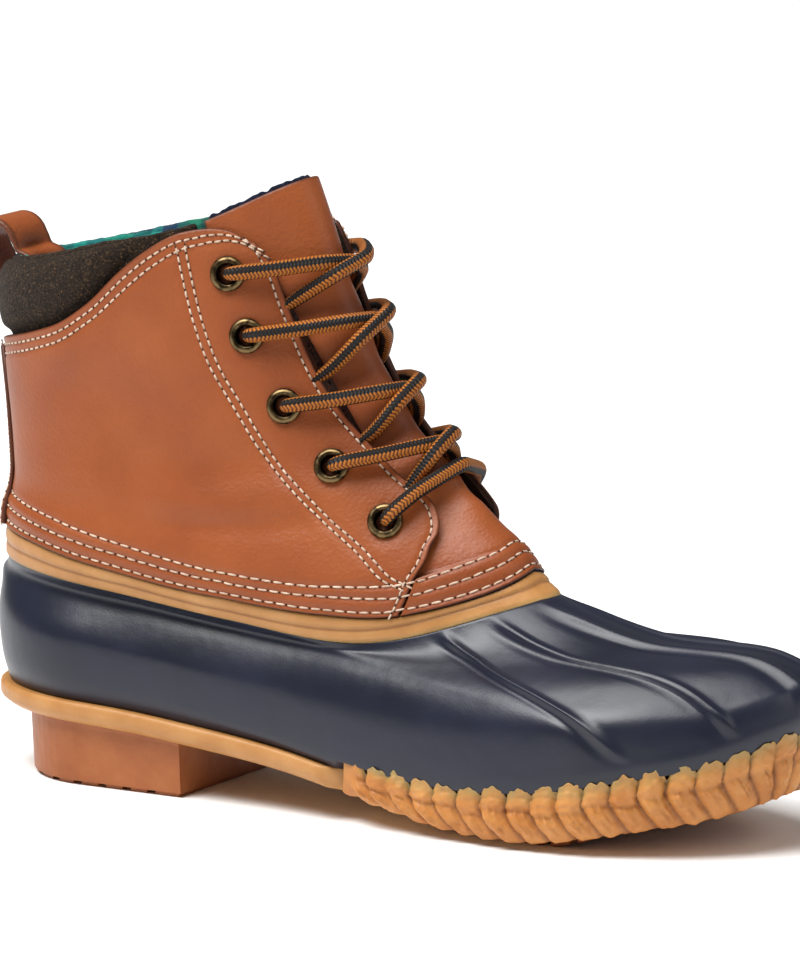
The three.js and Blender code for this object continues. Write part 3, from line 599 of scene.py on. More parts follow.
def moulded_navy_rubber():
    """Injection-moulded thermoplastic rubber, dark navy: satin from the mould's blasted
    face, with broad soft highlights and faint flow marks."""
    material, tree, shader = new_material(
        "moulded_rubber_navy", roughness=0.35, specular_ior_level=0.45)
    where = add_node(tree, "ShaderNodeTexCoord").outputs["Object"]
    flow = add_node(tree, "ShaderNodeTexNoise", {"Vector": where, "Scale": per_metre(34), "Detail": 3.0})
    colour = add_node(tree, "ShaderNodeValToRGB", {0: flow}, [(0.35, "#101422"), (0.7, "#15192B")])
    tree.links.new(colour.outputs[0], shader.inputs["Base Color"])
    gloss = add_node(tree, "ShaderNodeMapRange", {0: flow, 1: 0.3, 2: 0.7, 3: 0.32, 4: 0.4})
    tree.links.new(gloss.outputs[0], shader.inputs["Roughness"])
    blast = add_node(tree, "ShaderNodeTexNoise", {"Vector": where, "Scale": per_metre(0.7), "Detail": 2.0})
    relief = add_node(tree, "ShaderNodeBump", {"Height": blast, "Distance": 0.03 * MM, "Strength": 1.0})
    sink = add_node(tree, "ShaderNodeTexNoise", {"Vector": where, "Scale": per_metre(11), "Detail": 2.0})
    relief = add_node(tree, "ShaderNodeBump", {
        "Height": sink, "Distance": 0.22 * MM, "Strength": 1.0, "Normal": relief})
    tree.links.new(relief.outputs[0], shader.inputs["Normal"])
    return material


def gum_rubber(name, dark, middle, light):
    """Natural gum rubber, pressed while soft: amber, slightly cloudy, satin, darkened with
    painted shade where a piece marks its folds and grooves, and thinned to an olive film
    where it runs out over the navy rubber."""
    material, tree, shader = new_material(
        name, roughness=0.45, specular_ior_level=0.36,
        subsurface_weight=0.1, subsurface_scale=0.002, subsurface_radius=(1.0, 0.5, 0.2))
    where = add_node(tree, "ShaderNodeTexCoord").outputs["Object"]
    cloud = add_node(tree, "ShaderNodeTexNoise", {"Vector": where, "Scale": per_metre(12), "Detail": 4.0})
    colour = add_node(tree, "ShaderNodeValToRGB", {0: cloud}, [(0.3, dark), (0.52, middle), (0.75, light)])
    # Painted shade: the fold mark darkens the gum to brown in folds, grooves and under overhangs
    folds = add_node(tree, "ShaderNodeAttribute", attribute_name="fold").outputs["Fac"]
    colour = add_node(tree, "ShaderNodeMix", {0: folds, 6: colour, 7: linear("#5A2810")}, data_type="RGBA")
    film = add_node(tree, "ShaderNodeAttribute", attribute_name="film").outputs["Fac"]
    colour = add_node(tree, "ShaderNodeMix", {
        0: film, 6: colour.outputs[2], 7: linear("#8F8150")}, data_type="RGBA")
    tree.links.new(colour.outputs[2], shader.inputs["Base Color"])
    fine = add_node(tree, "ShaderNodeTexNoise", {"Vector": where, "Scale": per_metre(1.1), "Detail": 3.0})
    relief = add_node(tree, "ShaderNodeBump", {"Height": fine, "Distance": 0.09 * MM, "Strength": 1.0})
    lumps = add_node(tree, "ShaderNodeTexNoise", {"Vector": where, "Scale": per_metre(4.5), "Detail": 2.0})
    relief = add_node(tree, "ShaderNodeBump", {
        "Height": lumps, "Distance": 0.28 * MM, "Strength": 1.0, "Normal": relief})
    tree.links.new(relief.outputs[0], shader.inputs["Normal"])
    return material


def wool_felt(name, dark, light, fleck):
    """Fulled wool felt: matt, a nap of short tangled fibres, mixed dark and light."""
    material, tree, shader = new_material(name, roughness=0.95, specular_ior_level=0.2, sheen_weight=0.03)
    where = add_node(tree, "ShaderNodeTexCoord").outputs["Object"]
    tangle = add_node(tree, "ShaderNodeTexNoise", {
        "Vector": where, "Scale": per_metre(1.3), "Detail": 5.0, "Roughness": 0.72})
    colour = add_node(tree, "ShaderNodeValToRGB", {0: tangle}, [(0.38, dark), (0.62, light)])
    stray = add_node(tree, "ShaderNodeTexNoise", {
        "Vector": where, "Scale": per_metre(0.8), "Detail": 5.0, "Roughness": 0.8})
    flecks = add_node(tree, "ShaderNodeMapRange", {0: stray, 1: 0.54, 2: 0.66, 3: 0.0, 4: 0.85})
    colour = add_node(tree, "ShaderNodeMix", {0: flecks, 6: colour, 7: linear(fleck)}, data_type="RGBA")
    tree.links.new(colour.outputs[2], shader.inputs["Base Color"])
    relief = add_node(tree, "ShaderNodeBump", {"Height": tangle, "Distance": 0.7 * MM, "Strength": 1.0})
    soft = add_node(tree, "ShaderNodeTexNoise", {"Vector": where, "Scale": per_metre(7), "Detail": 2.0})
    relief = add_node(tree, "ShaderNodeBump", {
        "Height": soft, "Distance": 0.6 * MM, "Strength": 1.0, "Normal": relief})
    tree.links.new(relief.outputs[0], shader.inputs["Normal"])
    return material


# Repeat of the check, and its bands as places in the repeat and colours
CHECK_PITCH = 26.0
CHECK_BANDS = [
    (0.0, "#1D7A60"), (0.34, "#1D7A60"), (0.37, "#163452"), (0.57, "#163452"),
    (0.6, "#259488"), (0.72, "#259488"), (0.75, "#12263C"), (0.97, "#12263C")]


def check_flannel():
    """Brushed wool flannel woven in a plain check of green, blue-green and navy: matt,
    with a fuzzy face. The check runs in millimetres of the piece's own map."""
    material, tree, shader = new_material(
        "brushed_check_flannel", roughness=0.95, specular_ior_level=0.2, sheen_weight=0.1)
    uv = add_node(tree, "ShaderNodeUVMap", uv_map="pattern")
    where = add_node(tree, "ShaderNodeTexCoord").outputs["Object"]
    split = add_node(tree, "ShaderNodeSeparateXYZ", {0: uv})
    bands = []
    for axis in (0, 1):
        turn = add_node(tree, "ShaderNodeMath", {
            0: split.outputs[axis], 1: CHECK_PITCH}, operation="DIVIDE")
        turn = add_node(tree, "ShaderNodeMath", {0: turn}, operation="FRACT")
        bands.append(add_node(tree, "ShaderNodeValToRGB", {0: turn}, CHECK_BANDS))
    colour = add_node(tree, "ShaderNodeMix", {0: 0.5, 6: bands[0], 7: bands[1]}, data_type="RGBA")
    fuzz = add_node(tree, "ShaderNodeTexNoise", {
        "Vector": where, "Scale": per_metre(1.2), "Detail": 4.0, "Roughness": 0.7})
    shade = add_node(tree, "ShaderNodeMath", {0: fuzz, 1: 0.45}, operation="MULTIPLY")
    colour = add_node(tree, "ShaderNodeMix", {
        0: shade, 6: colour.outputs[2], 7: linear("#0A2C28")}, data_type="RGBA")
    tree.links.new(colour.outputs[2], shader.inputs["Base Color"])
    relief = add_node(tree, "ShaderNodeBump", {"Height": fuzz, "Distance": 0.8 * MM, "Strength": 1.0})
    tree.links.new(relief.outputs[0], shader.inputs["Normal"])
    return material


WAVE_STEP = math.pi / 10
KNIT_RIB = 1.98


def knit_lining():
    """Grey-green polyester knit glued to a thin foam: matt, with ribs of 2 mm. A wave
    texture repeats ten times in a length of pi over its scale."""
    material, tree, shader = new_material("knit_lining_grey", roughness=0.9, ior=1.45)
    where = add_node(tree, "ShaderNodeTexCoord").outputs["Object"]
    loops = add_node(tree, "ShaderNodeTexNoise", {"Vector": where, "Scale": per_metre(1.6), "Detail": 3.0})
    colour = add_node(tree, "ShaderNodeValToRGB", {0: loops}, [(0.3, "#3E4339"), (0.7, "#5C6053")])
    tree.links.new(colour.outputs[0], shader.inputs["Base Color"])
    ribs = add_node(tree, "ShaderNodeTexWave", {
        "Vector": where, "Scale": per_metre(KNIT_RIB / WAVE_STEP)}, bands_direction="Y")
    relief = add_node(tree, "ShaderNodeBump", {"Height": ribs, "Distance": 0.25 * MM, "Strength": 1.0})
    relief = add_node(tree, "ShaderNodeBump", {
        "Height": loops, "Distance": 0.2 * MM, "Strength": 1.0, "Normal": relief})
    tree.links.new(relief.outputs[0], shader.inputs["Normal"])
    return material


def antique_brass():
    """Brass stampings, chemically darkened and tumbled: dark in the hollows, brighter
    where the rolled rim was rubbed."""
    material, tree, shader = new_material("antique_brass", metallic=1.0, roughness=0.36)
    where = add_node(tree, "ShaderNodeTexCoord").outputs["Object"]
    worn = add_node(tree, "ShaderNodeAttribute", attribute_name="worn").outputs["Fac"]
    cloud = add_node(tree, "ShaderNodeTexNoise", {"Vector": where, "Scale": per_metre(2.6), "Detail": 4.0})
    patches = add_node(tree, "ShaderNodeMapRange", {0: cloud, 1: 0.3, 2: 0.7, 3: -0.3, 4: 0.3})
    rubbed = add_node(tree, "ShaderNodeMath", {0: worn, 1: patches}, operation="ADD")
    colour = add_node(tree, "ShaderNodeValToRGB", {0: rubbed}, [
        (0.15, "#17130D"), (0.75, "#33291B"), (1.0, "#6F5C3E")])
    tree.links.new(colour.outputs[0], shader.inputs["Base Color"])
    relief = add_node(tree, "ShaderNodeBump", {"Height": cloud, "Distance": 0.05 * MM, "Strength": 1.0})
    tree.links.new(relief.outputs[0], shader.inputs["Normal"])
    return material


# Amber stripes around the lace, and the length of one stitch of its braid
LACE_STRIPES = 3.0
LACE_YARN = 1.15


def braided_lace():
    """Round polyester boot lace, braided from dark brown and amber yarns: the yarns show as
    stripes of small slanted stitches, each painted darker towards its edges as shade in the
    grooves between the yarns. The braid runs in the piece's own map, with the lace's length
    in millimetres across it and one turn around it from 0 to 1."""
    material, tree, shader = new_material(
        "braided_polyester_lace", roughness=0.62, specular_ior_level=0.3)
    uv = add_node(tree, "ShaderNodeUVMap", uv_map="pattern")
    split = add_node(tree, "ShaderNodeSeparateXYZ", {0: uv})
    lanes = add_node(tree, "ShaderNodeMath", {
        0: split.outputs[1], 1: LACE_STRIPES * 4}, operation="MULTIPLY")
    lane = add_node(tree, "ShaderNodeMath", {0: lanes, 1: 1.0}, operation="PINGPONG")
    yarns = add_node(tree, "ShaderNodeMath", {0: split.outputs[0], 1: LACE_YARN}, operation="DIVIDE")
    slant = add_node(tree, "ShaderNodeMath", {0: lane, 1: 0.5, 2: yarns}, operation="MULTIPLY_ADD")
    step = add_node(tree, "ShaderNodeMath", {0: slant}, operation="FRACT")
    stitch = add_node(tree, "ShaderNodeMath", {0: step, 1: 0.5}, operation="PINGPONG")
    round_turn = add_node(tree, "ShaderNodeMath", {
        0: split.outputs[1], 1: LACE_STRIPES}, operation="MULTIPLY")
    band = add_node(tree, "ShaderNodeMath", {0: round_turn, 1: 0.5}, operation="PINGPONG")
    ragged = add_node(tree, "ShaderNodeMath", {0: stitch, 1: 0.22, 2: band}, operation="MULTIPLY_ADD")
    amber = add_node(tree, "ShaderNodeMath", {0: ragged, 1: 0.29}, operation="GREATER_THAN")
    # Painted shade: both yarn colours darken towards each stitch's edges, where the braid's grooves are
    amber_shaded = add_node(tree, "ShaderNodeValToRGB", {0: stitch}, [
        (0.03, "#401D08"), (0.16, "#85430F"), (0.44, "#B26C22")])
    dark_shaded = add_node(tree, "ShaderNodeValToRGB", {0: stitch}, [
        (0.05, "#060403"), (0.3, "#110B08"), (0.48, "#1F1510")])
    colour = add_node(tree, "ShaderNodeMix", {0: amber, 6: dark_shaded, 7: amber_shaded}, data_type="RGBA")
    tree.links.new(colour.outputs[2], shader.inputs["Base Color"])
    relief = add_node(tree, "ShaderNodeBump", {"Height": stitch, "Distance": 0.6 * MM, "Strength": 1.0})
    tree.links.new(relief.outputs[0], shader.inputs["Normal"])
    return material


def sewing_thread():
    """Bonded polyester thread, ivory: twisted, with a soft gloss."""
    material, tree, shader = new_material("bonded_thread_ivory", roughness=0.6, ior=1.5)
    where = add_node(tree, "ShaderNodeTexCoord").outputs["Object"]
    tone = add_node(tree, "ShaderNodeTexNoise", {"Vector": where, "Scale": per_metre(3), "Detail": 2.0})
    colour = add_node(tree, "ShaderNodeValToRGB", {0: tone}, [(0.3, "#A98C76"), (0.7, "#D2BCA6")])
    tree.links.new(colour.outputs[0], shader.inputs["Base Color"])
    twist = add_node(tree, "ShaderNodeTexNoise", {"Vector": where, "Scale": per_metre(0.5), "Detail": 2.0})
    relief = add_node(tree, "ShaderNodeBump", {"Height": twist, "Distance": 0.15 * MM, "Strength": 1.0})
    tree.links.new(relief.outputs[0], shader.inputs["Normal"])
    return material


def needle_shadow():
    """Painted shade of the needle's holes between two stitches: dark, matt and torn."""
    material, tree, shader = new_material("needle_hole_shade", roughness=1.0)
    where = add_node(tree, "ShaderNodeTexCoord").outputs["Object"]
    tone = add_node(tree, "ShaderNodeTexNoise", {"Vector": where, "Scale": per_metre(1), "Detail": 2.0})
    colour = add_node(tree, "ShaderNodeValToRGB", {0: tone}, [(0.3, "#2A160C"), (0.7, "#4A2A18")])
    tree.links.new(colour.outputs[0], shader.inputs["Base Color"])
    return material


def studio_paper():
    """Matt white background paper with a faint tooth."""
    material, tree, shader = new_material("white_paper", roughness=0.95, specular_ior_level=0.2)
    where = add_node(tree, "ShaderNodeTexCoord").outputs["Object"]
    tooth = add_node(tree, "ShaderNodeTexNoise", {"Vector": where, "Scale": per_metre(2), "Detail": 1.0})
    colour = add_node(tree, "ShaderNodeValToRGB", {0: tooth}, [(0.3, "#F5F5F4"), (0.7, "#F8F8F7")])
    tree.links.new(colour.outputs[0], shader.inputs["Base Color"])
    return material


LEATHER = full_grain_leather()
NAVY = moulded_navy_rubber()
GUM = gum_rubber("pressed_gum_rubber", "#8D4D23", "#975529", "#A26032")
RAND_GUM = gum_rubber("crimped_gum_rubber", "#AE6D32", "#BA7B3D", "#C58A4C")
BAND_GUM = gum_rubber("trimmed_gum_rubber", "#A8743F", "#B17E48", "#BA8A55")
FELT = wool_felt("fulled_wool_felt_brown", "#110B07", "#281C11", "#6C533A")
NAVY_WOOL = wool_felt("fulled_wool_navy", "#080D1A", "#141C33", "#2A3654")
CHECK = check_flannel()
KNIT = knit_lining()
BRASS = antique_brass()
LACE = braided_lace()
CORD = sewing_thread()
HOLE_SHADE = needle_shadow()
PAPER = studio_paper()


def dress(obj, materials, slot, *nodes):
    """Gives a piece its materials, and says its body and the solids it replaces. Its slot is not used."""
    for material in materials:
        obj.data.materials.append(material)
    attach(obj, "root")
    if nodes:
        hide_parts(*nodes)
    return obj


def weld(obj):
    """Joins points that lie on each other."""
    mesh = bmesh.new()
    mesh.from_mesh(obj.data)
    bmesh.ops.remove_doubles(mesh, verts=mesh.verts, dist=0.001 * MM)
    mesh.to_mesh(obj.data)
    mesh.free()


def platform_reach(side):
    """How far the platform reaches past the feather line: out as a band at the back, and
    in behind the rand."""
    return np.where(side <= BAND_END, BAND_REACH, -RAND_WALL - SEAT_GAP)


def sole_sides(count):
    """Places along the outer half of the foot, closer where the band gives way to the rand."""
    return np.concatenate([np.linspace(0, BAND_END, count), np.linspace(BAND_END + 0.004, 0.5, count)])


def around(outer_half):
    """Both halves of the foot in one ring of side places."""
    return np.concatenate([outer_half, 1 - outer_half[-2:0:-1]])


# The band's section: distance out past its reach, and share of the platform's thickness
BAND_EDGE = [(-BAND_CHAMFER - 1.2, 0.0), (-BAND_CHAMFER, 0.02), (-1.6, 0.16), (-0.45, 0.3), (0.0, 0.42),
             (0.12, 0.6), (0.1, 0.8), (-0.15, 0.93), (-0.7, 1.0), (-1.8, 1.0)]


def make_platform():
    """The sole's platform: a moulded band that overhangs the heel, chamfered below."""
    sides = around(sole_sides(70))
    band = half(sides) <= BAND_END
    inwards = np.clip(half(sides), 0.08, 0.44)

    def middle_line(height):
        return (beside(inwards, 0.0, -4.0, height) + beside(1 - inwards, 0.0, -4.0, height)) / 2

    rows = [middle_line(sole_bottom)]
    for out, share in BAND_EDGE:
        reach = platform_reach(half(sides)) + np.where(band, out, 0)
        rows.append(beside(sides, 0.0, reach, lambda x, s=share: sole_bottom(x) + SOLE_THICKNESS * s))
    rows.append(middle_line(sole_top))
    points = np.stack(rows, 1)
    zero = np.zeros(points.shape[:2])
    obj = skin("sole_platform", points, ring=True, attributes={"film": zero, "fold": zero})
    weld(obj)
    return dress(obj, [BAND_GUM], "gum_rubber", "outsole")


def stacked_faces(rings, count):
    """Faces of a closed block made of rings of points, one over the other."""
    faces = [list(range(count - 1, -1, -1))]
    for k in range(rings - 1):
        for i in range(count):
            j = (i + 1) % count
            faces.append([k * count + i, k * count + j, (k + 1) * count + j, (k + 1) * count + i])
    faces.append([(rings - 1) * count + i for i in range(count)])
    return faces


def prism(outline, low, high, inset=0.35):
    """A block from a plan outline with slightly rounded floor edges, as points and faces."""
    outline = np.asarray(outline, float)
    centre = outline.mean(0)
    rings = []
    for z, pull in ((low, inset), (mix(low, high, 0.15), 0.0), (high, 0.0)):
        away = unit(centre - outline) * pull
        rings.append(np.concatenate([outline + away, np.full((len(outline), 1), 1.0) * z[:, None]], 1))
    return np.concatenate(rings), stacked_faces(len(rings), len(outline))


def make_blocks(name, blocks, slot, *nodes):
    """One gum piece from several blocks of points and faces, with soft edges."""
    points, faces, start = [], [], 0
    for some, quads in blocks:
        points.append(some)
        faces += [[start + k for k in quad] for quad in quads]
        start += len(some)
    points = np.concatenate(points)
    zero = np.zeros(len(points))
    obj = add_mesh(name, points, faces, attributes={"film": zero, "fold": zero})
    obj.data.polygons.foreach_set("use_smooth", [False] * len(obj.data.polygons))
    bevel = obj.modifiers.new("soft edges", "BEVEL")
    bevel.width, bevel.segments, bevel.limit_method = 0.3 * MM, 2, "ANGLE"
    return dress(obj, [GUM], slot, *nodes)


def pad_edge(x, hand):
    """The tread's edge at a place along the foot, in from the feather line."""
    sides = np.linspace(PAD_START, 0.5, 200)
    line = beside(sides if hand < 0 else 1 - sides, 0.0, -PAD_INSET, sole_bottom)
    order = np.argsort(line[:, 0])
    return np.interp(x, line[order, 0], line[order, 1])


def pad_outline(low, high, count):
    """The tread's outline between two places along the foot."""
    xs = np.linspace(low, high, count)
    return np.concatenate([np.stack([xs, pad_edge(xs, -1)], 1), np.stack([xs, pad_edge(xs, 1)], 1)[::-1]])


def tread_bottom(x):
    """Height of the tread's bars, flat on the floor and shallower where the toe springs."""
    bare = sole_bottom(x + ORIGIN_AT)
    return np.maximum(bare - TREAD_DEPTH - PAD_SINK * (1 - 3 * smooth((bare - TREAD_DEPTH) / 4)), 0)


def make_tread():
    """Flat bars of the forefoot tread under a shallow pad."""
    shortest_bar = 1.5
    first = last_point(PAD_START, 0.0)[0] + LUG_PITCH / 2 - ORIGIN_AT
    start = first - LUG_PITCH / 2 - LUG_GROOVE / 2
    end = beside(0.5, 0.0, -PAD_INSET, sole_bottom)[0] - 0.5
    blocks = []
    x = first - LUG_PITCH
    while x < end:
        low, high = max(x + LUG_GROOVE / 2, start), min(x + LUG_PITCH - LUG_GROOVE / 2, end)
        x += LUG_PITCH
        if high - low < shortest_bar:
            continue
        outline = pad_outline(low, high, 5)
        bottom = tread_bottom(outline[:, 0])
        blocks.append(prism(outline, bottom, bottom + GROOVE_DEPTH + 0.3))
    outline = pad_outline(start, end, 40)
    bottom = tread_bottom(outline[:, 0]) + GROOVE_DEPTH
    blocks.append(prism(outline, bottom, sole_bottom(outline[:, 0] + ORIGIN_AT) + 2.0, 0.0))
    return make_blocks("forefoot_tread", blocks, "gum_rubber")


def heel_half_width(x, inset):
    """Half the heel's width: a half round at the back, straight sides in front of it."""
    radius = HEEL_WIDTH / 2
    centre = radius - HEEL_LENGTH / 2
    bow = np.sqrt(np.maximum((radius - inset) ** 2 - (x - centre) ** 2, 0))
    return np.where(x < centre, bow, radius - inset)


def heel_outline(low, high, inset, count):
    """The heel's outline between two places along it, with its points closer together
    at the round back."""
    turn = np.linspace(0, 1, count)
    if low <= -HEEL_LENGTH / 2 + inset + 0.01:
        turn = 1 - np.cos(turn * np.pi / 2)
    xs = low + (high - low) * turn
    y = heel_half_width(xs, inset)
    return np.concatenate([np.stack([xs, -y], 1), np.stack([xs, y], 1)[::-1]])


def make_heel():
    """The heel: a drafted block with a round back, on bars cut across its floor face."""
    back, breast = -HEEL_LENGTH / 2, HEEL_LENGTH / 2
    rows = []
    heights = (LUG_SHOWN, 4.2, 9.0, 14.0, 19.0, None)
    for k, z in enumerate(heights):
        share = k / (len(heights) - 1)
        inset = HEEL_DRAFT * (1 - share)
        outline = heel_outline(back + inset, breast, inset, 24)
        top = sole_bottom(outline[:, 0] + ORIGIN_AT) - HAIR
        height = top if z is None else np.full(len(outline), z) * (top / top.max()) ** share
        rows.append(np.concatenate([outline, height[:, None]], 1))
    blocks = [(np.concatenate(rows), stacked_faces(len(rows), len(rows[0])))]
    edges = [back + HEEL_DRAFT + 1.3]
    steps = int(HEEL_LENGTH / 2 / LUG_PITCH)
    for i in range(-steps, steps):
        middle = (i + 0.5) * LUG_PITCH
        edges += [middle - LUG_GROOVE / 2, middle + LUG_GROOVE / 2]
    edges.append(breast)
    for low, high in zip(edges[::2], edges[1::2]):
        outline = heel_outline(low, min(high, breast - 1.2), HEEL_DRAFT + 1.1, 9)
        zero = np.zeros(len(outline))
        blocks.append(prism(outline, zero, zero + GROOVE_DEPTH))
    return make_blocks("heel_block", blocks, "gum_rubber", "heel")


# Columns of points in a crimp, and rows from the rand's hem to its lip
CRIMP_COLUMNS = 24
RAND_ROWS = 46


def rand_places():
    """Sides around the forefoot, their places counted in crimps, and the crimps in a half."""
    walk = np.linspace(RAND_START, 0.5, 400)
    line = last_point(walk, 0.5)
    walked = np.concatenate([[0], np.cumsum(np.linalg.norm(np.diff(line, axis=0), axis=1))])
    count = int(round(walked[-1] / CRIMP_PITCH))
    share = np.linspace(0, 1, count * CRIMP_COLUMNS + 1)
    side_half = np.interp(share * walked[-1], walked, walk)
    sides = np.concatenate([side_half, 1 - side_half[-2::-1]])
    return sides, np.concatenate([share, 2 - share[-2::-1]]) * count, count


def crimps(at, rows, count):
    """Pleats over a grid of places in crimps and of rows from 0 at the hem to 1 at the lip:
    how far they stand out, how much they raise the lip, and how much painted shade darkens a
    point in the valleys between them and under their tucks."""
    from_end = np.minimum(at, 2 * count - at)
    ends = smooth(from_end / 1.2)
    lean = np.where(at <= count, 1.0, -1.0) * smooth(np.abs(at - count) / 2.5) * ends
    drawn = np.clip((0.66 - rows) / 0.66, 0, 1) ** 1.35 + 0.12 * (1 - rows)
    shifted = at - lean * drawn
    index = np.floor(shifted).astype(int)
    phase = np.where(at <= count, shifted - index, 1 - (shifted - index))
    rng = np.random.default_rng(11)
    luck = np.moveaxis(rng.uniform(0, 1, (2 * count + 8, 9))[index + 3], -1, 0)
    size, bent, skewed, nib_at, nib_size, notch_at, notch_size, tucked, lip_reach = luck

    # The petal above and the slanting fold below, with two small pleats on it
    dip = 0.5 + 0.16 * bent
    upper = smooth((rows - dip + 0.1) / 0.18)
    across = np.clip(2 * (phase - 0.5 - 0.12 * (skewed - 0.5)), -1, 1)
    petal = (1 - np.abs(across) ** 2.2) ** 0.6
    fold = np.clip(phase / 0.22, 0, 1) ** 0.7 * (1 - np.clip((phase - 0.22) / 0.78, 0, 1) ** 1.3 * 0.95)
    pleats = sum(
        (0.35 + 0.75 * deep) * bell(phase - middle - 0.2 * (moved - 0.5), 0.055)
        for middle, deep, moved in ((0.45, notch_at, nib_at), (0.7, notch_size, nib_size)))
    pleats = pleats * smooth(rows / 0.15)
    swelling = 0.75 + 0.5 * np.sin(np.clip(rows / dip, 0, 1) * np.pi)
    relief = (0.8 + 0.4 * size) * (upper * petal * 2.2 + (1 - upper) * (fold * 2.3 * swelling + pleats))
    tuck = bell(rows - dip + 0.02, 0.06) * (0.2 + 0.45 * tucked)

    # How far the wall stands out, thinning to the lip and plain at both ends
    roll = np.sin(np.clip(rows, 0, 1) * np.pi) ** 0.5
    out = -1.45 + 1.25 * roll + relief * (0.35 + 0.65 * roll) - tuck
    out = mix(out, mix(-1.1, 0.35 + 0.6 * lip_reach, petal), smooth((rows - 0.76) / 0.24))
    out = mix(-0.9, out, ends)

    # The lip's lobes with their nibs and notches, the first crimp's point and the hem
    nib = bell(phase - 0.22 - 0.6 * nib_at, 0.13) * (0.1 + 0.8 * nib_size)
    nib = nib + 0.3 * np.sin(phase * 15 + bent * 6.28)
    notch = bell(phase - 0.25 - 0.5 * notch_at, 0.05) * notch_size
    tip = (1 - np.abs(across) ** 2.8) ** 0.6
    gain = tip * (2.5 + 0.9 * size) - 1.9 + (nib - 0.7 * notch) * tip
    gain = gain + 4.6 * smooth(1 - np.abs(from_end - 0.45) / 0.4)
    gain = gain * smooth((rows - 0.5) / 0.5) * smooth(from_end / 0.25)
    gain = gain - 0.7 * fold * (1 - smooth(rows / 0.2))
    # Painted shade, darkest in the valleys between the pleats and under each tuck
    valley = np.clip(1 - relief / 1.1, 0, 1) ** 1.3
    return out, gain, (valley * 0.85 + tuck * 0.3) * ends, ends


def make_rand():
    """The crimped rand: overlapping pleats of soft gum, each a rounded petal at the lip and
    a slanting fold below it that tucks under the next one."""
    sides, position, count = rand_places()
    at, rows = np.meshgrid(position, np.linspace(0, 1, RAND_ROWS) ** 0.9, indexing="ij")
    turn = np.broadcast_to(sides[:, None], at.shape)
    out, gain, deep, ends = crimps(at, rows, count)

    def height(x):
        return mix(sole_bottom(x) + GAP, last_point(turn, 1.0)[..., 2], rows) + gain

    outer = beside(turn, rows, out, height)
    rough = waves(outer, 4.2, 5) * 0.36 + waves(outer, 1.9, 6) * 0.2
    rough = rough * ends * (1 - 0.7 * smooth((rows - 0.85) / 0.15))
    outer = outer + last_normal(turn, rows) * rough[..., None]
    lip_height = last_point(sides, 1.0)[:, 2]
    thin = out[:, -1] - 0.45
    inner = []
    for row, share in ((1.0, 1.0), (0.86, 0.6), (0.7, 0.0), (0.35, 0.0), (0.0, 0.0)):
        rise = (outer[:, -1, 2] - lip_height) * row
        inner.append(beside(
            sides, row, mix(-RAND_WALL, thin, share),
            lambda x, r=row, t=rise: mix(sole_bottom(x) + GAP, lip_height, r) + t))
    points = np.concatenate([outer, np.stack(inner, 1)], 1)
    film = np.zeros(points.shape[:2])
    patchy = np.clip(0.75 + waves(outer, 7, 9) * 0.35, 0, 1)
    film[:, :RAND_ROWS] = smooth((rows - 0.66) / 0.34) * 0.85 * patchy
    film[:, RAND_ROWS] = 0.8
    # Painted shade in the pleats' valleys and tucks, read by the gum as its fold mark
    valley_shade = np.zeros(points.shape[:2])
    valley_shade[:, :RAND_ROWS] = deep
    obj = skin("crimped_rand", points, loop=True, caps=True, attributes={"film": film, "fold": valley_shade})
    return dress(obj, [RAND_GUM], "gum_rubber", "rand")


def shell_out(side, level):
    """The shell's step in, behind the rand and below its lip."""
    wrapped = smooth((half(side) - RAND_START + 0.004) / 0.006)
    below = 1 - smooth((level - 0.72) / 0.25)
    return -(RAND_WALL + SEAT_GAP) * wrapped * below


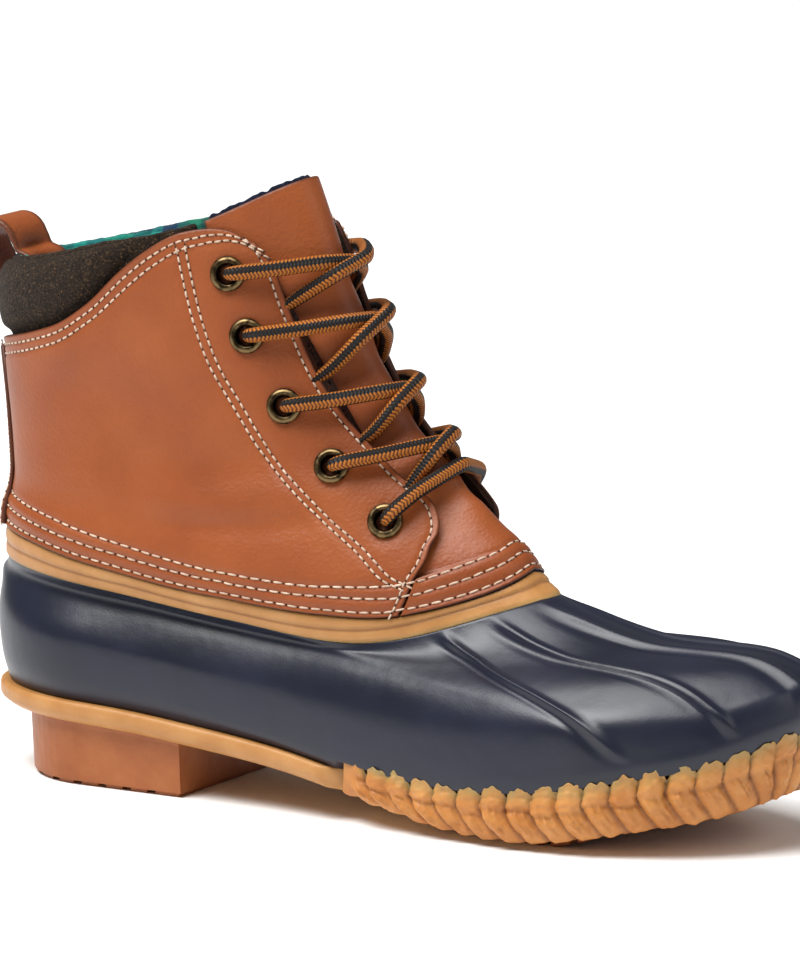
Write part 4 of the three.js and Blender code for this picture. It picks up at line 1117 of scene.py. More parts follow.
def make_shell():
    """The moulded shell, with ridges that fan out over the vamp, and its knitted lining."""
    rim = look_up(RIDGES, RIM_LEVEL)
    names = ("outer", "middle", "crest")
    plain = np.concatenate([
        np.linspace(0, 0.243, 56), np.linspace(0.247, 0.254, 7), np.linspace(0.257, 0.5, 44)])
    fine = np.concatenate([
        float(rim[n]) + np.linspace(-6, 6, 19) * float(side_step(float(rim[n]), RIM_LEVEL, 1.0))
        for n in names])
    columns = np.unique(np.round(np.concatenate([plain, fine[fine < 0.5]]), 5))
    levels = np.concatenate([np.linspace(0, 0.65, 5), np.linspace(0.7, 1.0, 10), np.linspace(1.06, 6, 60)])
    sides = np.zeros((len(columns), len(levels)))
    for k, level in enumerate(levels):
        line = look_up(RIDGES, level)
        anchors = [0, 0.25, *[float(line[n]) for n in names], 0.5]
        sides[:, k] = np.interp(columns, [0, 0.25, *[float(rim[n]) for n in names], 0.5], anchors)
    raised = np.zeros_like(sides)
    line = look_up(RIDGES, levels)
    for n in names:
        apart = (sides - line[n][None]) / side_step(line[n], levels, 1.0)[None]
        raised += RIDGE_HEIGHT * bell(apart, RIDGE_WIDTH)
        raised -= TROUGH_DEPTH * bell(apart + TROUGH_AT, TROUGH_WIDTH)
    raised *= (smooth((levels - 1.9) / 0.8) * smooth((6.05 - levels) / 0.55))[None]
    both = np.concatenate([sides, 1 - sides[-2:0:-1]])
    raised = np.concatenate([raised, raised[-2:0:-1]])
    level = np.broadcast_to(levels[None], both.shape)
    from_back = half(both) / side_step(0.0, BUMP_LEVEL, 1.0)
    bump = BUMP_HEIGHT * smooth(1 - np.abs(level - BUMP_LEVEL)) * bell(from_back, BUMP_WIDTH)
    base = shell_out(both, level)
    outer = place(both, level, base + raised + bump)
    outer = outer + last_normal(both, level) * (waves(outer, 60, 8) * 0.22)[..., None]
    inner = place(both, level, base - RUBBER_WALL)
    for grid, wall in ((outer, 0), (inner, -RUBBER_WALL)):
        grid[:, 0] = beside(both[:, 0], 0.0, base[:, 0] + wall, lambda x: sole_top(x) + HAIR)
    points = np.concatenate([outer, inner[:, ::-1][:, ::3]], 1)
    obj = skin("rubber_upper", points, ring=True, loop=True, inner_from=len(levels))
    return dress(obj, [NAVY, KNIT], "navy_rubber", "rubber_shell")


# The binding's face from its lower edge to the leather: distance out from the last
BINDING = table(["share", "out"], [
    [0.00, 0.12],
    [0.05, 0.40],
    [0.15, 0.75],
    [0.30, 0.95],
    [0.48, 1.10],
    [0.55, 1.00],
    [0.60, 1.35],
    [0.70, 1.70],
    [0.88, 1.72],
    [0.96, 1.45],
    [1.00, 0.42],
])


def make_binding():
    """The gum binding: a soft band pressed over the shell's rim, with a bead along it."""
    sides = around(np.linspace(0, 0.5, 190))
    tall = 30
    shares = np.linspace(0, 1, tall)
    bottom = RIM_LEVEL + 0.05
    edge = look_up(MARGIN, half(sides))["level"]
    level = mix(RIM_LEVEL - 0.04, edge[:, None], shares[None])
    turn = np.broadcast_to(sides[:, None], level.shape)
    out = look_up(BINDING, shares)["out"][None] + 0 * level
    face = place(turn, level, out)
    soft = waves(face, 38, 14) * 0.2 + waves(face, 15, 15) * 0.1
    drift = waves(face * np.array([1, 1, 0.2]), 55, 16) * 0.035
    drift = drift * np.sin(shares * np.pi)[None]
    face = place(turn, level + drift, out + soft * smooth(shares / 0.2)[None])
    hidden = np.stack([place(sides, lv, np.full(len(sides), o)) for lv, o in (
        (BINDING_TOP, -GAP), (BINDING_TOP, -RUBBER_WALL), (bottom, -RUBBER_WALL))], 1)
    points = np.concatenate([face, hidden], 1)
    film = np.zeros(points.shape[:2])
    film[:, :tall] = bell(shares / 0.1, 1.0)[None] * 0.55
    # Painted shade: darker along the groove at half the band's height and under the leather's edge
    fold = np.zeros(points.shape[:2])
    fold[:, :tall] = (bell((shares - 0.52) / 0.05, 1.0) * 0.5 + smooth((shares - 0.94) / 0.06) * 0.4)[None]
    obj = skin("top_binding_band", points, ring=True, loop=True, attributes={"film": film, "fold": fold})
    return dress(obj, [BAND_GUM], "gum_rubber", "top_binding")


def flap_side(level):
    """Where the flap's free edge runs."""
    return look_up(FLAP, level)["side"]


# How far the inner flap's free edge lifts at some levels, and how wide the lifted part is
FLARE_LEVELS = (6.9, 7.8, 9.0, 9.8, 10.6)
FLARE_LIFTS = (0.0, 3.6, 4.2, 5.6, 7.6)
FLARE_WIDTH = 16.0


def flare(side, level):
    """How far the inner flap stands off the tongue beside its free edge."""
    edge = flap_side(level)
    away = (edge - half(side)) / side_step(edge, level, 1.0)
    lift = np.interp(level, FLARE_LEVELS, FLARE_LIFTS)
    return np.where(np.asarray(side) > 0.5, lift * (1 - smooth(away / FLARE_WIDTH)), 0.0)


def cut_hide(side, level, face, back, edge):
    """Both faces of a hide, rounded at its edges, and how much of the cut shows on them."""
    pull = eased(edge, CUT_RADIUS)
    outer = place(side, level, face - pull)
    inner = place(side, level, back + pull * 0.9)
    cut = np.concatenate([bell(edge, CUT_REACH), bell(edge[:, ::-1], BACK_CUT_REACH)], 1)
    return np.concatenate([outer, inner[:, ::-1]], 1), cut


def pressed_rows(flat, paths):
    """How far rows of stitches press a face in, 1 under the thread."""
    pressed = np.zeros(flat.shape[:2])
    for path in paths:
        pressed = np.maximum(pressed, near(flat, path, GROOVE_WIDTH))
    return pressed


def quarter_at(across, up):
    """Side and level of the quarters' points: across -1 at the outer flap's edge, 0 at the
    back, 1 at the inner flap's edge; up from the margin to the top line."""
    reach = np.abs(across)
    side = 0.4 * reach
    level = np.full(np.broadcast(across, up).shape, 8.0)
    for _ in range(12):
        level = mix(look_up(MARGIN, side)["level"], look_up(TOP_LINE, side)["level"], up)
        side = mix(side, flap_side(level) * reach, 0.7)
    return np.where(across > 0, 1 - side, side), level


def seam(rows, offset, hand):
    """Points of a line of the pattern, moved sideways by offset."""
    levels = np.linspace(rows["rows"][0, 0], rows["rows"][-1, 0], 120)
    side = look_up(rows, levels)["side"]
    side = side + side_step(side, levels, offset)
    side = side if hand < 0 else 1 - side
    return place(side, levels, margin_out(levels) + flare(side, levels))


def eyelet_spots():
    """Each eyelet's place on the leather and its way out: the outer five from the top,
    then the inner five."""
    rows = EYELETS["rows"]
    spots = []
    for hand in (-1, 1):
        for level, side in rows:
            turn = side if hand < 0 else 1 - side
            out = margin_out(level) + flare(turn, level)
            spots.append((place(turn, level, out), last_normal(turn, level)))
    return spots


def stitch_row(points, at, axis, far=False):
    """The points of a grid at a distance in from its near or far border, along an axis."""
    grid = np.flip(points, axis) if far else points
    moved = np.moveaxis(grid, axis, 1)
    apart = np.moveaxis(lengths_along(grid, axis), axis, 1)
    return np.stack([[np.interp(at, d, p[:, k]) for k in range(3)] for p, d in zip(moved, apart)])


def make_quarters():
    """The shaft: full-grain leather over a felt lining, with its rows of stitches pressed
    in and sewn."""
    across = dense((1, -1), 300, 0.012)
    up = dense((0, 1), 96, 0.03)
    a, u = np.meshgrid(across, up, indexing="ij")
    side, level = quarter_at(a, u)
    step = margin_out(level) + flare(side, level)
    flat = place(side, level, step)
    run = lengths_along(flat, 0)
    front = np.minimum(run, run[-1:] - run)
    rise = lengths_along(flat, 1)
    top = rise[:, -1:] - rise
    coarse = [stitch_row(flat, d, 1) for d in MARGIN_ROWS]
    fine = [stitch_row(flat, d, 1, far=True) for d in TOP_ROWS]
    fine += [stitch_row(flat, FRONT_ROW, 0, far) for far in (False, True)]
    fine += [seam(FACING, offset, hand) for hand in (-1, 1) for offset in (-FACING_ROW, FACING_ROW)]
    pressed = pressed_rows(flat, coarse + fine)
    puffed = np.zeros(a.shape)
    for low, high in zip(MARGIN_ROWS, MARGIN_ROWS[1:]):
        puffed += bell((rise - (low + high) / 2) / (high - low) * 3.2, 1.0)
    facing_side = np.interp(level, FACING["rows"][:, 0], FACING["rows"][:, 1])
    apart = (half(side) - facing_side) / side_step(facing_side, level, 1.0)
    overlap = smooth((FACING_ROW - apart) / 0.8 + 0.5) * smooth((level - 7.1) / 0.3)
    dimple = np.zeros(a.shape)
    for centre, _ in eyelet_spots():
        apart_mm = np.linalg.norm(flat - centre, axis=-1)
        dimple += -0.5 * bell(apart_mm, 6.5) + 0.25 * bell(apart_mm - 9, 3.0)
    soft = waves(flat, 70, 21) * 0.55 * smooth((rise - 14) / 20) * smooth((top - 5) / 14)
    crease = crease_relief(side, level)
    shape = (step - GROOVE_SUNK * pressed + 0.16 * puffed + 0.3 * overlap + dimple * 0.6
             + soft * 0.55 + crease)
    edge = np.minimum(np.minimum(front, rise), top)
    grid, cut = cut_hide(side, level, shape, step - LEATHER_WALL, edge)
    outline = np.stack([run, rise], -1)
    uv = np.concatenate([outline, outline[:, ::-1], outline[:, :1]], 1)
    obj = skin("leather_shaft", grid, loop=True, caps=True, uv=uv, attributes={"cut": cut},
               inner_from=len(up))
    open_eyelets(obj)
    dress(obj, [LEATHER, FELT], "tan_leather", "leather_quarters")
    sew("shaft_margin", coarse, obj, COARSE_PITCH)
    sew("shaft_edges", fine, obj, FINE_PITCH)


# The shaft's creases: level and its tilt around the boot, depth in millimetres, width in
# levels, and the sides between which each one runs
CREASES = table(["level", "tilt", "depth", "width", "start", "end"], [
    [8.15, 2.2, 0.65, 0.16, 0.20, 0.38],
    [8.75, 1.6, 0.50, 0.20, 0.24, 0.40],
    [9.35, -1.2, 0.35, 0.25, 0.12, 0.30],
])


def crease_relief(side, level):
    """Soft bends of the shaft where the ankle flexes, as shallow troughs and swells."""
    turn = half(side)
    relief = np.zeros(np.shape(side))
    for at, tilt, depth, width, start, end in CREASES["rows"]:
        line = at + (turn - 0.3) * tilt
        reach = smooth((turn - start) / 0.07) * smooth((end - turn) / 0.07)
        swell = bell(level - line - 2 * width, width * 1.2)
        relief += reach * depth * (0.6 * swell - bell(level - line, width))
    return relief


def open_eyelets(obj):
    """Takes the leather out of the eyelets' bores, under their flanges."""
    radius, depth = 4.1 * MM, 6 * MM
    mesh = bmesh.new()
    mesh.from_mesh(obj.data)
    gone = []
    for centre, normal in eyelet_spots():
        middle, axis = Vector((centre * MM).tolist()), Vector(normal.tolist())
        for face in mesh.faces:
            away = face.calc_center_median() - middle
            along = away.dot(axis)
            if abs(along) < depth and (away - axis * along).length < radius:
                gone.append(face)
    bmesh.ops.delete(mesh, geom=list(set(gone)), context="FACES")
    mesh.to_mesh(obj.data)
    mesh.free()


def tongue_out(side, level):
    """How far the tongue stands out: under the flaps, and swelling between them."""
    hidden = -(LEATHER_WALL + FLAP_CLEARANCE)
    shown = half(side) - flap_side(level)
    width = np.maximum(0.5 - flap_side(level), 0.06)
    crest = smooth(shown / width)
    return margin_out(level) + mix(hidden, TONGUE_SWELL * smooth((level - 7.4) / 0.7), crest)


def tongue_grid(shares, rows):
    """Sides, levels and distances out for the vamp and tongue: shares run from one edge to
    the other, rows below 0 from the margin to the flaps and then by level."""
    share, row = np.meshgrid(np.minimum(shares, 2 - shares), rows, indexing="ij")
    side = np.full(share.shape, 0.44)
    level = row.copy()
    for _ in range(8):
        level = np.where(row < 0, mix(BUTTED, look_up(MARGIN, side)["level"], -row), row)
        start = np.where(level > DROPPED, TONGUE_START, flap_side(level) + 0.0015)
        side = mix(start, 0.5, share)
    shown = np.where(level > BUTTED, tongue_out(side, level), margin_out(level))
    turned = np.where(shares[:, None] > 1, 1 - side, side)
    return turned, level, shown


# The tongue's creases: level, depth in millimetres and width in levels
TONGUE_CREASES = table(["level", "depth", "width"], [
    [8.00, 0.35, 0.12],
    [8.75, 0.50, 0.14],
    [9.45, 0.55, 0.16],
    [10.10, 0.45, 0.16],
])


def make_tongue():
    """The vamp and tongue in one hide, its rows of stitches at the binding, and the navy
    wool that lines it."""
    shares = np.concatenate([dense((0, 1), 60, 0.03)[:-1], 2 - dense((0, 1), 60, 0.03)[::-1]])
    rows = np.concatenate([
        [-1, -0.985, -0.96, -0.92], np.linspace(-0.88, -0.04, 16), [BUTTED, BUTTED + 0.05],
        np.linspace(BUTTED + 0.101, 10.9, 104), [10.93, 10.955, 10.975, 10.99, TONGUE_TOP]])
    side, level, shown = tongue_grid(shares, rows)
    flat = place(side, level, shown)
    rise = lengths_along(flat, 1)
    run = lengths_along(flat, 0)
    front = np.minimum(run, run[-1:] - run)
    top = rise[:, -1:] - rise
    margin = [stitch_row(flat, d, 1) for d in MARGIN_ROWS]
    inside = (shares > 0.035) & (shares < 1.965)
    margin = [path[inside] for path in margin]
    pressed = pressed_rows(flat, margin)
    folds = np.zeros(side.shape)
    for at, depth, width in TONGUE_CREASES["rows"]:
        bent = level - at - 0.12 * np.cos((half(side) - 0.5) * 30)
        folds += depth * (-bell(bent, width) + 0.5 * bell(bent - 0.3, width * 1.5))
    folds *= smooth((half(side) - flap_side(level)) / 0.03)
    soft = waves(flat, 45, 23) * 0.4 * smooth((rise - 14) / 15)
    edge = np.minimum(np.minimum(front, rise), top)
    face = shown - GROOVE_SUNK * pressed + folds + soft
    grid, cut = cut_hide(side, level, face, shown - LEATHER_WALL, edge)
    cut[:, :40] *= np.where(front[:, :1] < 3, 0.4, 1.0)
    obj = skin("leather_tongue", grid, loop=True, caps=True, attributes={"cut": cut}, inner_from=len(rows))
    dress(obj, [LEATHER, NAVY_WOOL], "tan_leather", "tongue")
    sew("vamp_margin", margin, obj, COARSE_PITCH)
    lining(side, level, shown)


def lining(side, level, shown):
    """Navy wool behind the tongue, standing a little above its leather edge."""
    keep = level[level.shape[0] // 2] > 9.4
    side, level, shown = side[:, keep][:, ::3], level[:, keep][:, ::3], shown[:, keep][:, ::3]
    pile, depth = 1.5, LEATHER_WALL + 0.15
    outer = place(side, level, shown - depth)
    inner = place(side, level, shown - depth - pile)
    lift = unit(outer[:, -1] - outer[:, -3])
    frayed = 1.6 + 0.35 * waves(outer[:, -1], 4, 31)
    ends = smooth(np.minimum(np.arange(len(side)), np.arange(len(side))[::-1]) / 8)
    tops = []
    for t in np.linspace(0, 1, 7)[1:]:
        tops.append(outer[:, -1] + lift * (frayed * ends * np.sin(t * np.pi / 2))[:, None]
                    + (inner[:, -1] - outer[:, -1]) * (1 - np.cos(t * np.pi / 2)) / 2)
    for t in np.linspace(0, 1, 7)[1:-1]:
        tops.append(inner[:, -1] + lift * (frayed * ends * np.cos(t * np.pi / 2))[:, None]
                    - (inner[:, -1] - outer[:, -1]) * (1 - np.sin(t * np.pi / 2)) / 2)
    grid = np.concatenate([outer, np.stack(tops, 1), inner[:, ::-1]], 1)
    grid = grid + unit(grid - grid.mean((0, 1))) * (waves(grid, 3, 33) * 0.12)[..., None]
    obj = skin("tongue_lining", grid, loop=True, caps=True)
    return dress(obj, [NAVY_WOOL], "wool_felt")


def make_back_stay():
    """The strap over the back seam, with a stitch line beside each edge."""
    shares = dense((1, -1), 16, 0.05)
    levels = dense((6.8, 9.8), 60, 0.02)
    share, level = np.meshgrid(shares, levels, indexing="ij")
    reach = mix(1.6, 1.0, smooth((level - 6.8) / 2.6))
    side = (-share * reach * side_step(0.0, level, STAY_WIDTH / 2)) % 1
    base = margin_out(level) + GAP
    flat = place(side, level, base + STAY_THICKNESS)
    run, rise = lengths_along(flat, 0), lengths_along(flat, 1)
    edge = np.minimum(np.minimum(run, run[-1:] - run), np.minimum(rise, rise[:, -1:] - rise))
    paths = [stitch_row(flat, STRAP_ROW, 0, far) for far in (False, True)]
    pressed = np.maximum(near(flat, paths[0], 0.9), near(flat, paths[1], 0.9))
    pull = eased(edge, 0.65)
    outer = place(side, level, base + STAY_THICKNESS - pull - 0.3 * pressed)
    inner = place(side, level, base - 0.25)
    grid = np.concatenate([outer, inner[:, ::-1]], 1)
    cut = np.concatenate([bell(edge, 0.6), bell(edge[:, ::-1], 2.0)], 1)
    obj = skin("back_strap", grid, loop=True, caps=True, attributes={"cut": cut})
    dress(obj, [LEATHER], "tan_leather", "back_stay")
    sew("back_strap", paths, obj, FINE_PITCH)


# The cuff's face: levels past the top line, share of the way up to the collar's top, and
# share of its swell
CUFF = table(["row", "past", "above", "out"], [
    [0.0, -0.50, 0.00, 0.0],
    [1.0, 0.00, 0.00, 0.0],
    [2.0, 0.09, 0.10, 0.75],
    [3.0, 0.10, 0.45, 1.0],
    [4.0, 0.10, 0.80, 0.85],
    [5.0, 0.10, 0.97, 0.35],
    [6.0, 0.10, 1.00, -0.1],
])


def make_cuff():
    """The padded collar: wool felt outside, turned over at the top onto the check flannel."""
    sides = np.concatenate([np.linspace(-CUFF_END, 0, 90), np.linspace(0, CUFF_END, 90)[1:]])
    turn = sides % 1
    tucked = -(LEATHER_WALL + SEAT_GAP)
    rows = np.linspace(0, 6, 34)
    path = look_up(CUFF, rows)
    line = look_up(TOP_LINE, np.abs(sides))["level"]
    low = line[:, None] + path["past"][None]
    level = mix(low, np.maximum(low, TONGUE_TOP), np.clip(path["above"], 0, 1)[None])
    swell = smooth((TONGUE_TOP - 0.12 - line) / 0.35)[:, None]
    grid_turn = np.broadcast_to(turn[:, None], level.shape)
    out = tucked + CUFF_SWELL * path["out"][None] * swell
    outer = place(grid_turn, level, out)
    body = smooth((rows - 0.8) / 0.8)[None]
    outwards = last_normal(grid_turn, np.minimum(level, 10.9))
    nap = waves(outer, 26, 41) * 0.35 + waves(outer, 3, 42) * 0.06
    outer = outer + outwards * (nap * swell * body)[..., None]
    inner_out = tucked - FELT_THICKNESS + 0.8 * smooth((rows - 4) / 2)[None] + 0 * level
    inner = place(grid_turn, level, inner_out)
    inner = inner + outwards * (waves(inner, 22, 43) * 0.3)[..., None]
    rim_outer, rim_inner = outer[:, -1], inner[:, -1]
    arc = []
    for t in np.linspace(0, np.pi, 11)[1:-1]:
        lift = np.array([0, 0, 1.0]) * (1.3 * np.sin(t) * (0.35 + 0.65 * swell[:, 0]))[:, None]
        arc.append(mix(rim_outer, rim_inner, (1 - math.cos(t)) / 2) + lift)
    arc = np.stack(arc, 1)
    arc = arc + (waves(arc, 4, 44) * 0.22 + waves(arc, 2, 45) * 0.15)[..., None] * np.array([0, 0, 1.0])
    grid = np.concatenate([outer, arc, inner[:, ::-1]], 1)
    run = lengths_along(grid[:, 40:41], 0)[:, 0]
    down = lengths_along(grid, 1)
    uv = np.stack([np.broadcast_to(run[:, None], down.shape), down], -1)
    uv = np.concatenate([uv, uv[:, :1]], 1)
    obj = skin("felt_collar", grid, loop=True, caps=True, uv=uv, inner_from=len(rows) + 4)
    dress(obj, [FELT, CHECK], "wool_felt", "collar_cuff")
    return obj


def make_pull_loop():
    """The pull loop: a leather strap with rounded edges, stood up in a soft arch."""
    inner_face = LEATHER_WALL + SEAT_GAP + FELT_THICKNESS
    thick = LOOP_THICKNESS / 2
    base = place(0.0, LOOP_LEVEL, 0.0)
    top = place(0.0, TONGUE_TOP, 0.0)
    felt = CUFF_SWELL - LEATHER_WALL - SEAT_GAP
    outside = min(base[0], top[0]) - felt - GAP - thick
    centre_x = outside - LOOP_LEAN + LOOP_REACH / 2
    inside = base[0] + inner_face + SEAT_GAP + thick
    radius = LOOP_REACH / 2
    centre = top[2] + LOOP_RISE - radius - thick
    knots = [[outside, base[2]], [outside - 0.2 * LOOP_LEAN, mix(base[2], centre, 0.5)]]
    for turn in np.linspace(np.pi, -0.2, 10):
        knots.append([centre_x + radius * math.cos(turn), centre + radius * math.sin(turn)])
    bow_x, bow_z = knots[-1]
    foot = base[2] + LOOP_FOOT
    for t in (0.12, 0.35, 0.7, 1):
        knots.append([mix(bow_x, inside, float(smooth(t / 0.12))), mix(bow_z, foot, t)])
    knots = np.array(knots)
    count = 70
    at = lengths_along(knots[:, None], 0)[:, 0]
    spline = np.stack([at, knots[:, 0], knots[:, 1]], 1)
    path = look_up({"columns": ["at", "x", "z"], "rows": spline}, np.linspace(0, at[-1], count))
    line = np.stack([path["x"], path["z"]], 1)
    tangent = unit(np.gradient(line, axis=0))
    turned = np.stack([-tangent[:, 1], tangent[:, 0]], 1)
    section = []
    strip = rounded_strip(LOOP_WIDTH / 2, thick)
    beyond = place(0.03, LOOP_LEVEL, -inner_face)
    middle = place(0.0, LOOP_LEVEL, -inner_face)
    late = smooth((np.arange(count) / (count - 1) * len(knots) - len(knots) + 5.5) / 2)
    for w, t in strip:
        bow = (beyond[0] - middle[0]) * (w / beyond[1]) ** 2
        x = line[:, 0] + turned[:, 0] * t + late * bow
        z = line[:, 1] + turned[:, 1] * t
        section.append(np.stack([x, np.full(count, w), z], 1))
    points = np.stack(section, 1)
    rim = np.array([1.0 if abs(w) > LOOP_WIDTH / 2 - 1.0 else 0.0 for w, _ in strip])
    cut = np.broadcast_to(rim[None] * 0.8, points.shape[:2])
    obj = skin("pull_strap", points, loop=True, caps=True, attributes={"cut": cut})
    return dress(obj, [LEATHER], "tan_leather", "pull_loop")


def rounded_strip(half_width, half_thickness):
    """The outline of a flat strap's section, as (across, through) pairs."""
    flat = np.linspace(-half_width + half_thickness, half_width - half_thickness, 12)
    bends = np.linspace(np.pi / 2, -np.pi / 2, 7)[1:-1]
    bend = [(flat[-1] + half_thickness * math.cos(t), half_thickness * math.sin(t)) for t in bends]
    points = [(w, half_thickness) for w in flat] + bend
    return points + [(-w, -t) for w, t in points]


# An eyelet's section: distance from its axis, height over the leather, and wear
EYELET_PROFILE = [
    (2.9, -2.4, 0.0), (3.7, -2.4, 0.0), (3.7, 0.3, 0.0), (5.0, 0.3, 0.0), (5.35, 0.42, 0.3),
    (5.5, 0.75, 0.7),
    (5.36, 1.2, 0.9), (4.95, 1.62, 1.0), (4.4, 1.88, 0.9), (3.8, 1.9, 0.75), (3.35, 1.65, 0.5),
    (3.05, 1.15, 0.25), (2.92, 0.5, 0.05), (2.9, -0.6, 0.0),
]


def make_eyelets():
    """Ten two-part eyelets, each a barrel with a rolled flange."""
    turns = np.linspace(0, 2 * np.pi, 33)[:-1]
    profile = np.array(EYELET_PROFILE)
    tall = len(profile)
    points, faces, worn = [], [], []
    for centre, normal in eyelet_spots():
        first = unit(np.cross(normal, [0.0, 0.3, 1.0]))
        second = np.cross(normal, first)
        start = len(points) * len(turns) * tall
        ring = first * np.cos(turns)[:, None] + second * np.sin(turns)[:, None]
        points.append(centre + ring[:, None] * profile[None, :, :1] + normal * profile[None, :, 1:2])
        worn.append(np.broadcast_to(profile[None, :, 2], (len(turns), tall)))
        for i in range(len(turns)):
            here, there = start + i * tall, start + (i + 1) % len(turns) * tall
            for j in range(tall):
                above = (j + 1) % tall
                faces.append([here + j, there + j, there + above, here + above])
    obj = add_mesh("brass_eyelets", np.stack(points), faces, attributes={"worn": np.stack(worn)})
    nodes = [f"eyelet_{word}_{k + 1}" for word in ("outer", "inner") for k in range(5)]
    return dress(obj, [BRASS], "antique_brass", *nodes)


# The lace's middle over what it rests on and over an eyelet's rim, how far below the
# leather it ends in an eyelet, and how far beside the eyelet's middle it turns over the rim
LACE_REST = LACE_DIAMETER / 2 + GAP
OVER_EYELET = EYELET_SEAT + EYELET_CROWN + LACE_REST
BELOW_LEATHER = 2.6
RIM_TURN = 3.4
LACE_STEP = 0.45


def out_of_eyelet(side, level, next_level):
    """A strand's first rows: inside an eyelet, in its mouth and over its rim."""
    base = float(margin_out(level))
    away = float(side_step(side, level, RIM_TURN))
    return [
        [side, level, base - BELOW_LEATHER, 0.55],
        [side, level, base + 1.6, 0.9],
        [side + away, next_level, base + OVER_EYELET - 0.6, 1],
    ]


def crossing_route(index, hand, lift):
    """A strand from inside an eyelet over the flap's edge and the crest to under the other
    flap, as rows of side, level, distance out and thickness."""
    level, side = EYELETS["rows"][index]
    crest, emerge = CROSSINGS["rows"][index]
    edge = float(flap_side(level))
    landing = 1 - float(flap_side(emerge)) - 0.016
    below_level, below_side = EYELETS["rows"][index + 1]
    top = LACE_REST + LACE_BULGE + 0.5 * TONGUE_SWELL + lift
    over_flap = LACE_REST + LACE_BULGE * (0.7 if hand < 0 else 0.1)
    route = [
        *out_of_eyelet(side, level, mix(level, crest, 0.1)),
        [edge, mix(level, crest, 0.4), over_flap + lift * 0.2, 1],
        [mix(edge, 0.5, 0.55), mix(level, crest, 0.72), mix(over_flap, top, 0.6), 1],
        [0.5, crest, top, 1],
        [mix(0.5, landing, 0.5), mix(crest, emerge, 0.45), LACE_REST + TONGUE_SWELL + lift * 0.7, 1],
        [landing, emerge, float(tongue_out(landing, emerge)) + LACE_REST, 0.95],
        [landing + 0.03, mix(emerge, below_level, 0.35), -2.4 + float(margin_out(emerge)), 0.6],
        [1 - below_side, below_level, -2.8 + float(margin_out(below_level)), 0.55],
    ]
    return [[turn if hand < 0 else 1 - turn, *rest] for turn, *rest in route]


def bar_route():
    """The straight strand between the two bottom eyelets."""
    level, side = EYELETS["rows"][4]
    crest = level + 0.3
    rest = LACE_REST + LACE_BULGE / 2
    route = [
        *out_of_eyelet(side, level, level + 0.05),
        [0.43, mix(level, crest, 0.6), rest, 1],
    ]
    back = [[1 - turn, *others] for turn, *others in route[::-1]]
    return [*route, [0.5, crest, rest + TONGUE_SWELL, 1], *back]


def lace_route():
    """One lace through all ten eyelets: down in a zigzag from the top outer eyelet, across
    at the bottom, and back up to the top inner one over its first half."""
    lifts = {-1: 0.0, 1: LACE_DIAMETER * 0.8}
    route = []
    hand = -1
    for index in range(4):
        route += crossing_route(index, hand, lifts[hand])[:-1]
        hand = -hand
    route += bar_route()
    hand = -1
    for index in (3, 2, 1, 0):
        route += crossing_route(index, hand, lifts[hand])[::-1][1:]
        hand = -hand
    return np.array(route)


def softened(values, distance):
    """Values along a line in steps of LACE_STEP, averaged over about a distance."""
    reach = 10
    soft = np.exp(-(np.arange(-reach, reach + 1) * LACE_STEP / distance) ** 2)
    soft /= soft.sum()
    padded = np.concatenate([np.repeat(values[:1], reach), values, np.repeat(values[-1:], reach)])
    return np.convolve(padded, soft, "valid")


def round_cord(name, line, radius, sides):
    """A cord with a changing radius along a line, without a twist. Its map runs in
    millimetres along it and from 0 to 1 around it."""
    tangent = unit(np.gradient(line, axis=0))
    first = unit(np.cross(tangent[0], [0.1, 0.2, 1.0]))
    firsts = []
    for t in tangent:
        first = unit(first - t * (first @ t))
        firsts.append(first)
    firsts = np.array(firsts)
    seconds = np.cross(tangent, firsts)
    around_turn = np.linspace(0, 2 * np.pi, sides + 1)[:-1]
    cos, sin = np.cos(around_turn)[None, :, None], np.sin(around_turn)[None, :, None]
    points = line[:, None] + radius[:, None, None] * (firsts[:, None] * cos + seconds[:, None] * sin)
    run = lengths_along(line[:, None], 0)[:, 0]
    uv = np.stack(np.broadcast_arrays(run[:, None], np.linspace(0, 1, sides + 1)[None]), -1)
    return skin(name, points, loop=True, caps=True, uv=uv)


def make_lace():
    """The braided lace along its route, eased into soft bends."""
    route = lace_route()
    edge = flap_side(route[:, 1])
    past = (half(route[:, 0]) - edge) / side_step(edge, route[:, 1], 1.0)
    lifted = flare(route[:, 0], route[:, 1]) * smooth(1 - past / 7)
    knots = place(route[:, 0], route[:, 1], route[:, 2] + lifted)
    at = lengths_along(knots[:, None], 0)[:, 0]
    keep = np.concatenate([[True], np.diff(at) > 0.01])
    at, knots, route = at[keep], knots[keep], route[keep]
    places = np.arange(0, at[-1], LACE_STEP)
    line = np.stack([np.interp(places, at, knots[:, k]) for k in range(3)], 1)
    radius = np.interp(places, at, route[:, 3]) * LACE_DIAMETER / 2
    for _ in range(2):
        line = np.stack([softened(line[:, k], 2.2) for k in range(3)], 1)
        radius = softened(radius, 2.2)
    obj = round_cord("braided_lace", line[::2], radius[::2], 14)
    nodes = [f"lace_crossing_{k + 1}" for k in range(4)] + ["lace_bar"]
    return dress(obj, [LACE], "lace_cord", *nodes)


def template_mesh(name, length, radius, sink, shift, sides=6):
    """A short thread whose ends dive down, lying along X."""
    turns = np.linspace(0, 2 * np.pi, sides + 1)[:-1]
    shares = np.array([-1, -0.82, -0.4, 0.0, 0.4, 0.82, 1])
    fat = np.array([0.35, 0.85, 1.0, 1.05, 1.0, 0.85, 0.35]) * radius
    x = shift + shares[:, None] * length / 2
    y = fat[:, None] * np.cos(turns)[None]
    z = fat[:, None] * np.sin(turns)[None] - sink * np.abs(shares[:, None]) ** 3
    return skin(name, np.stack(np.broadcast_arrays(x, y, z), -1), loop=True, caps=True)


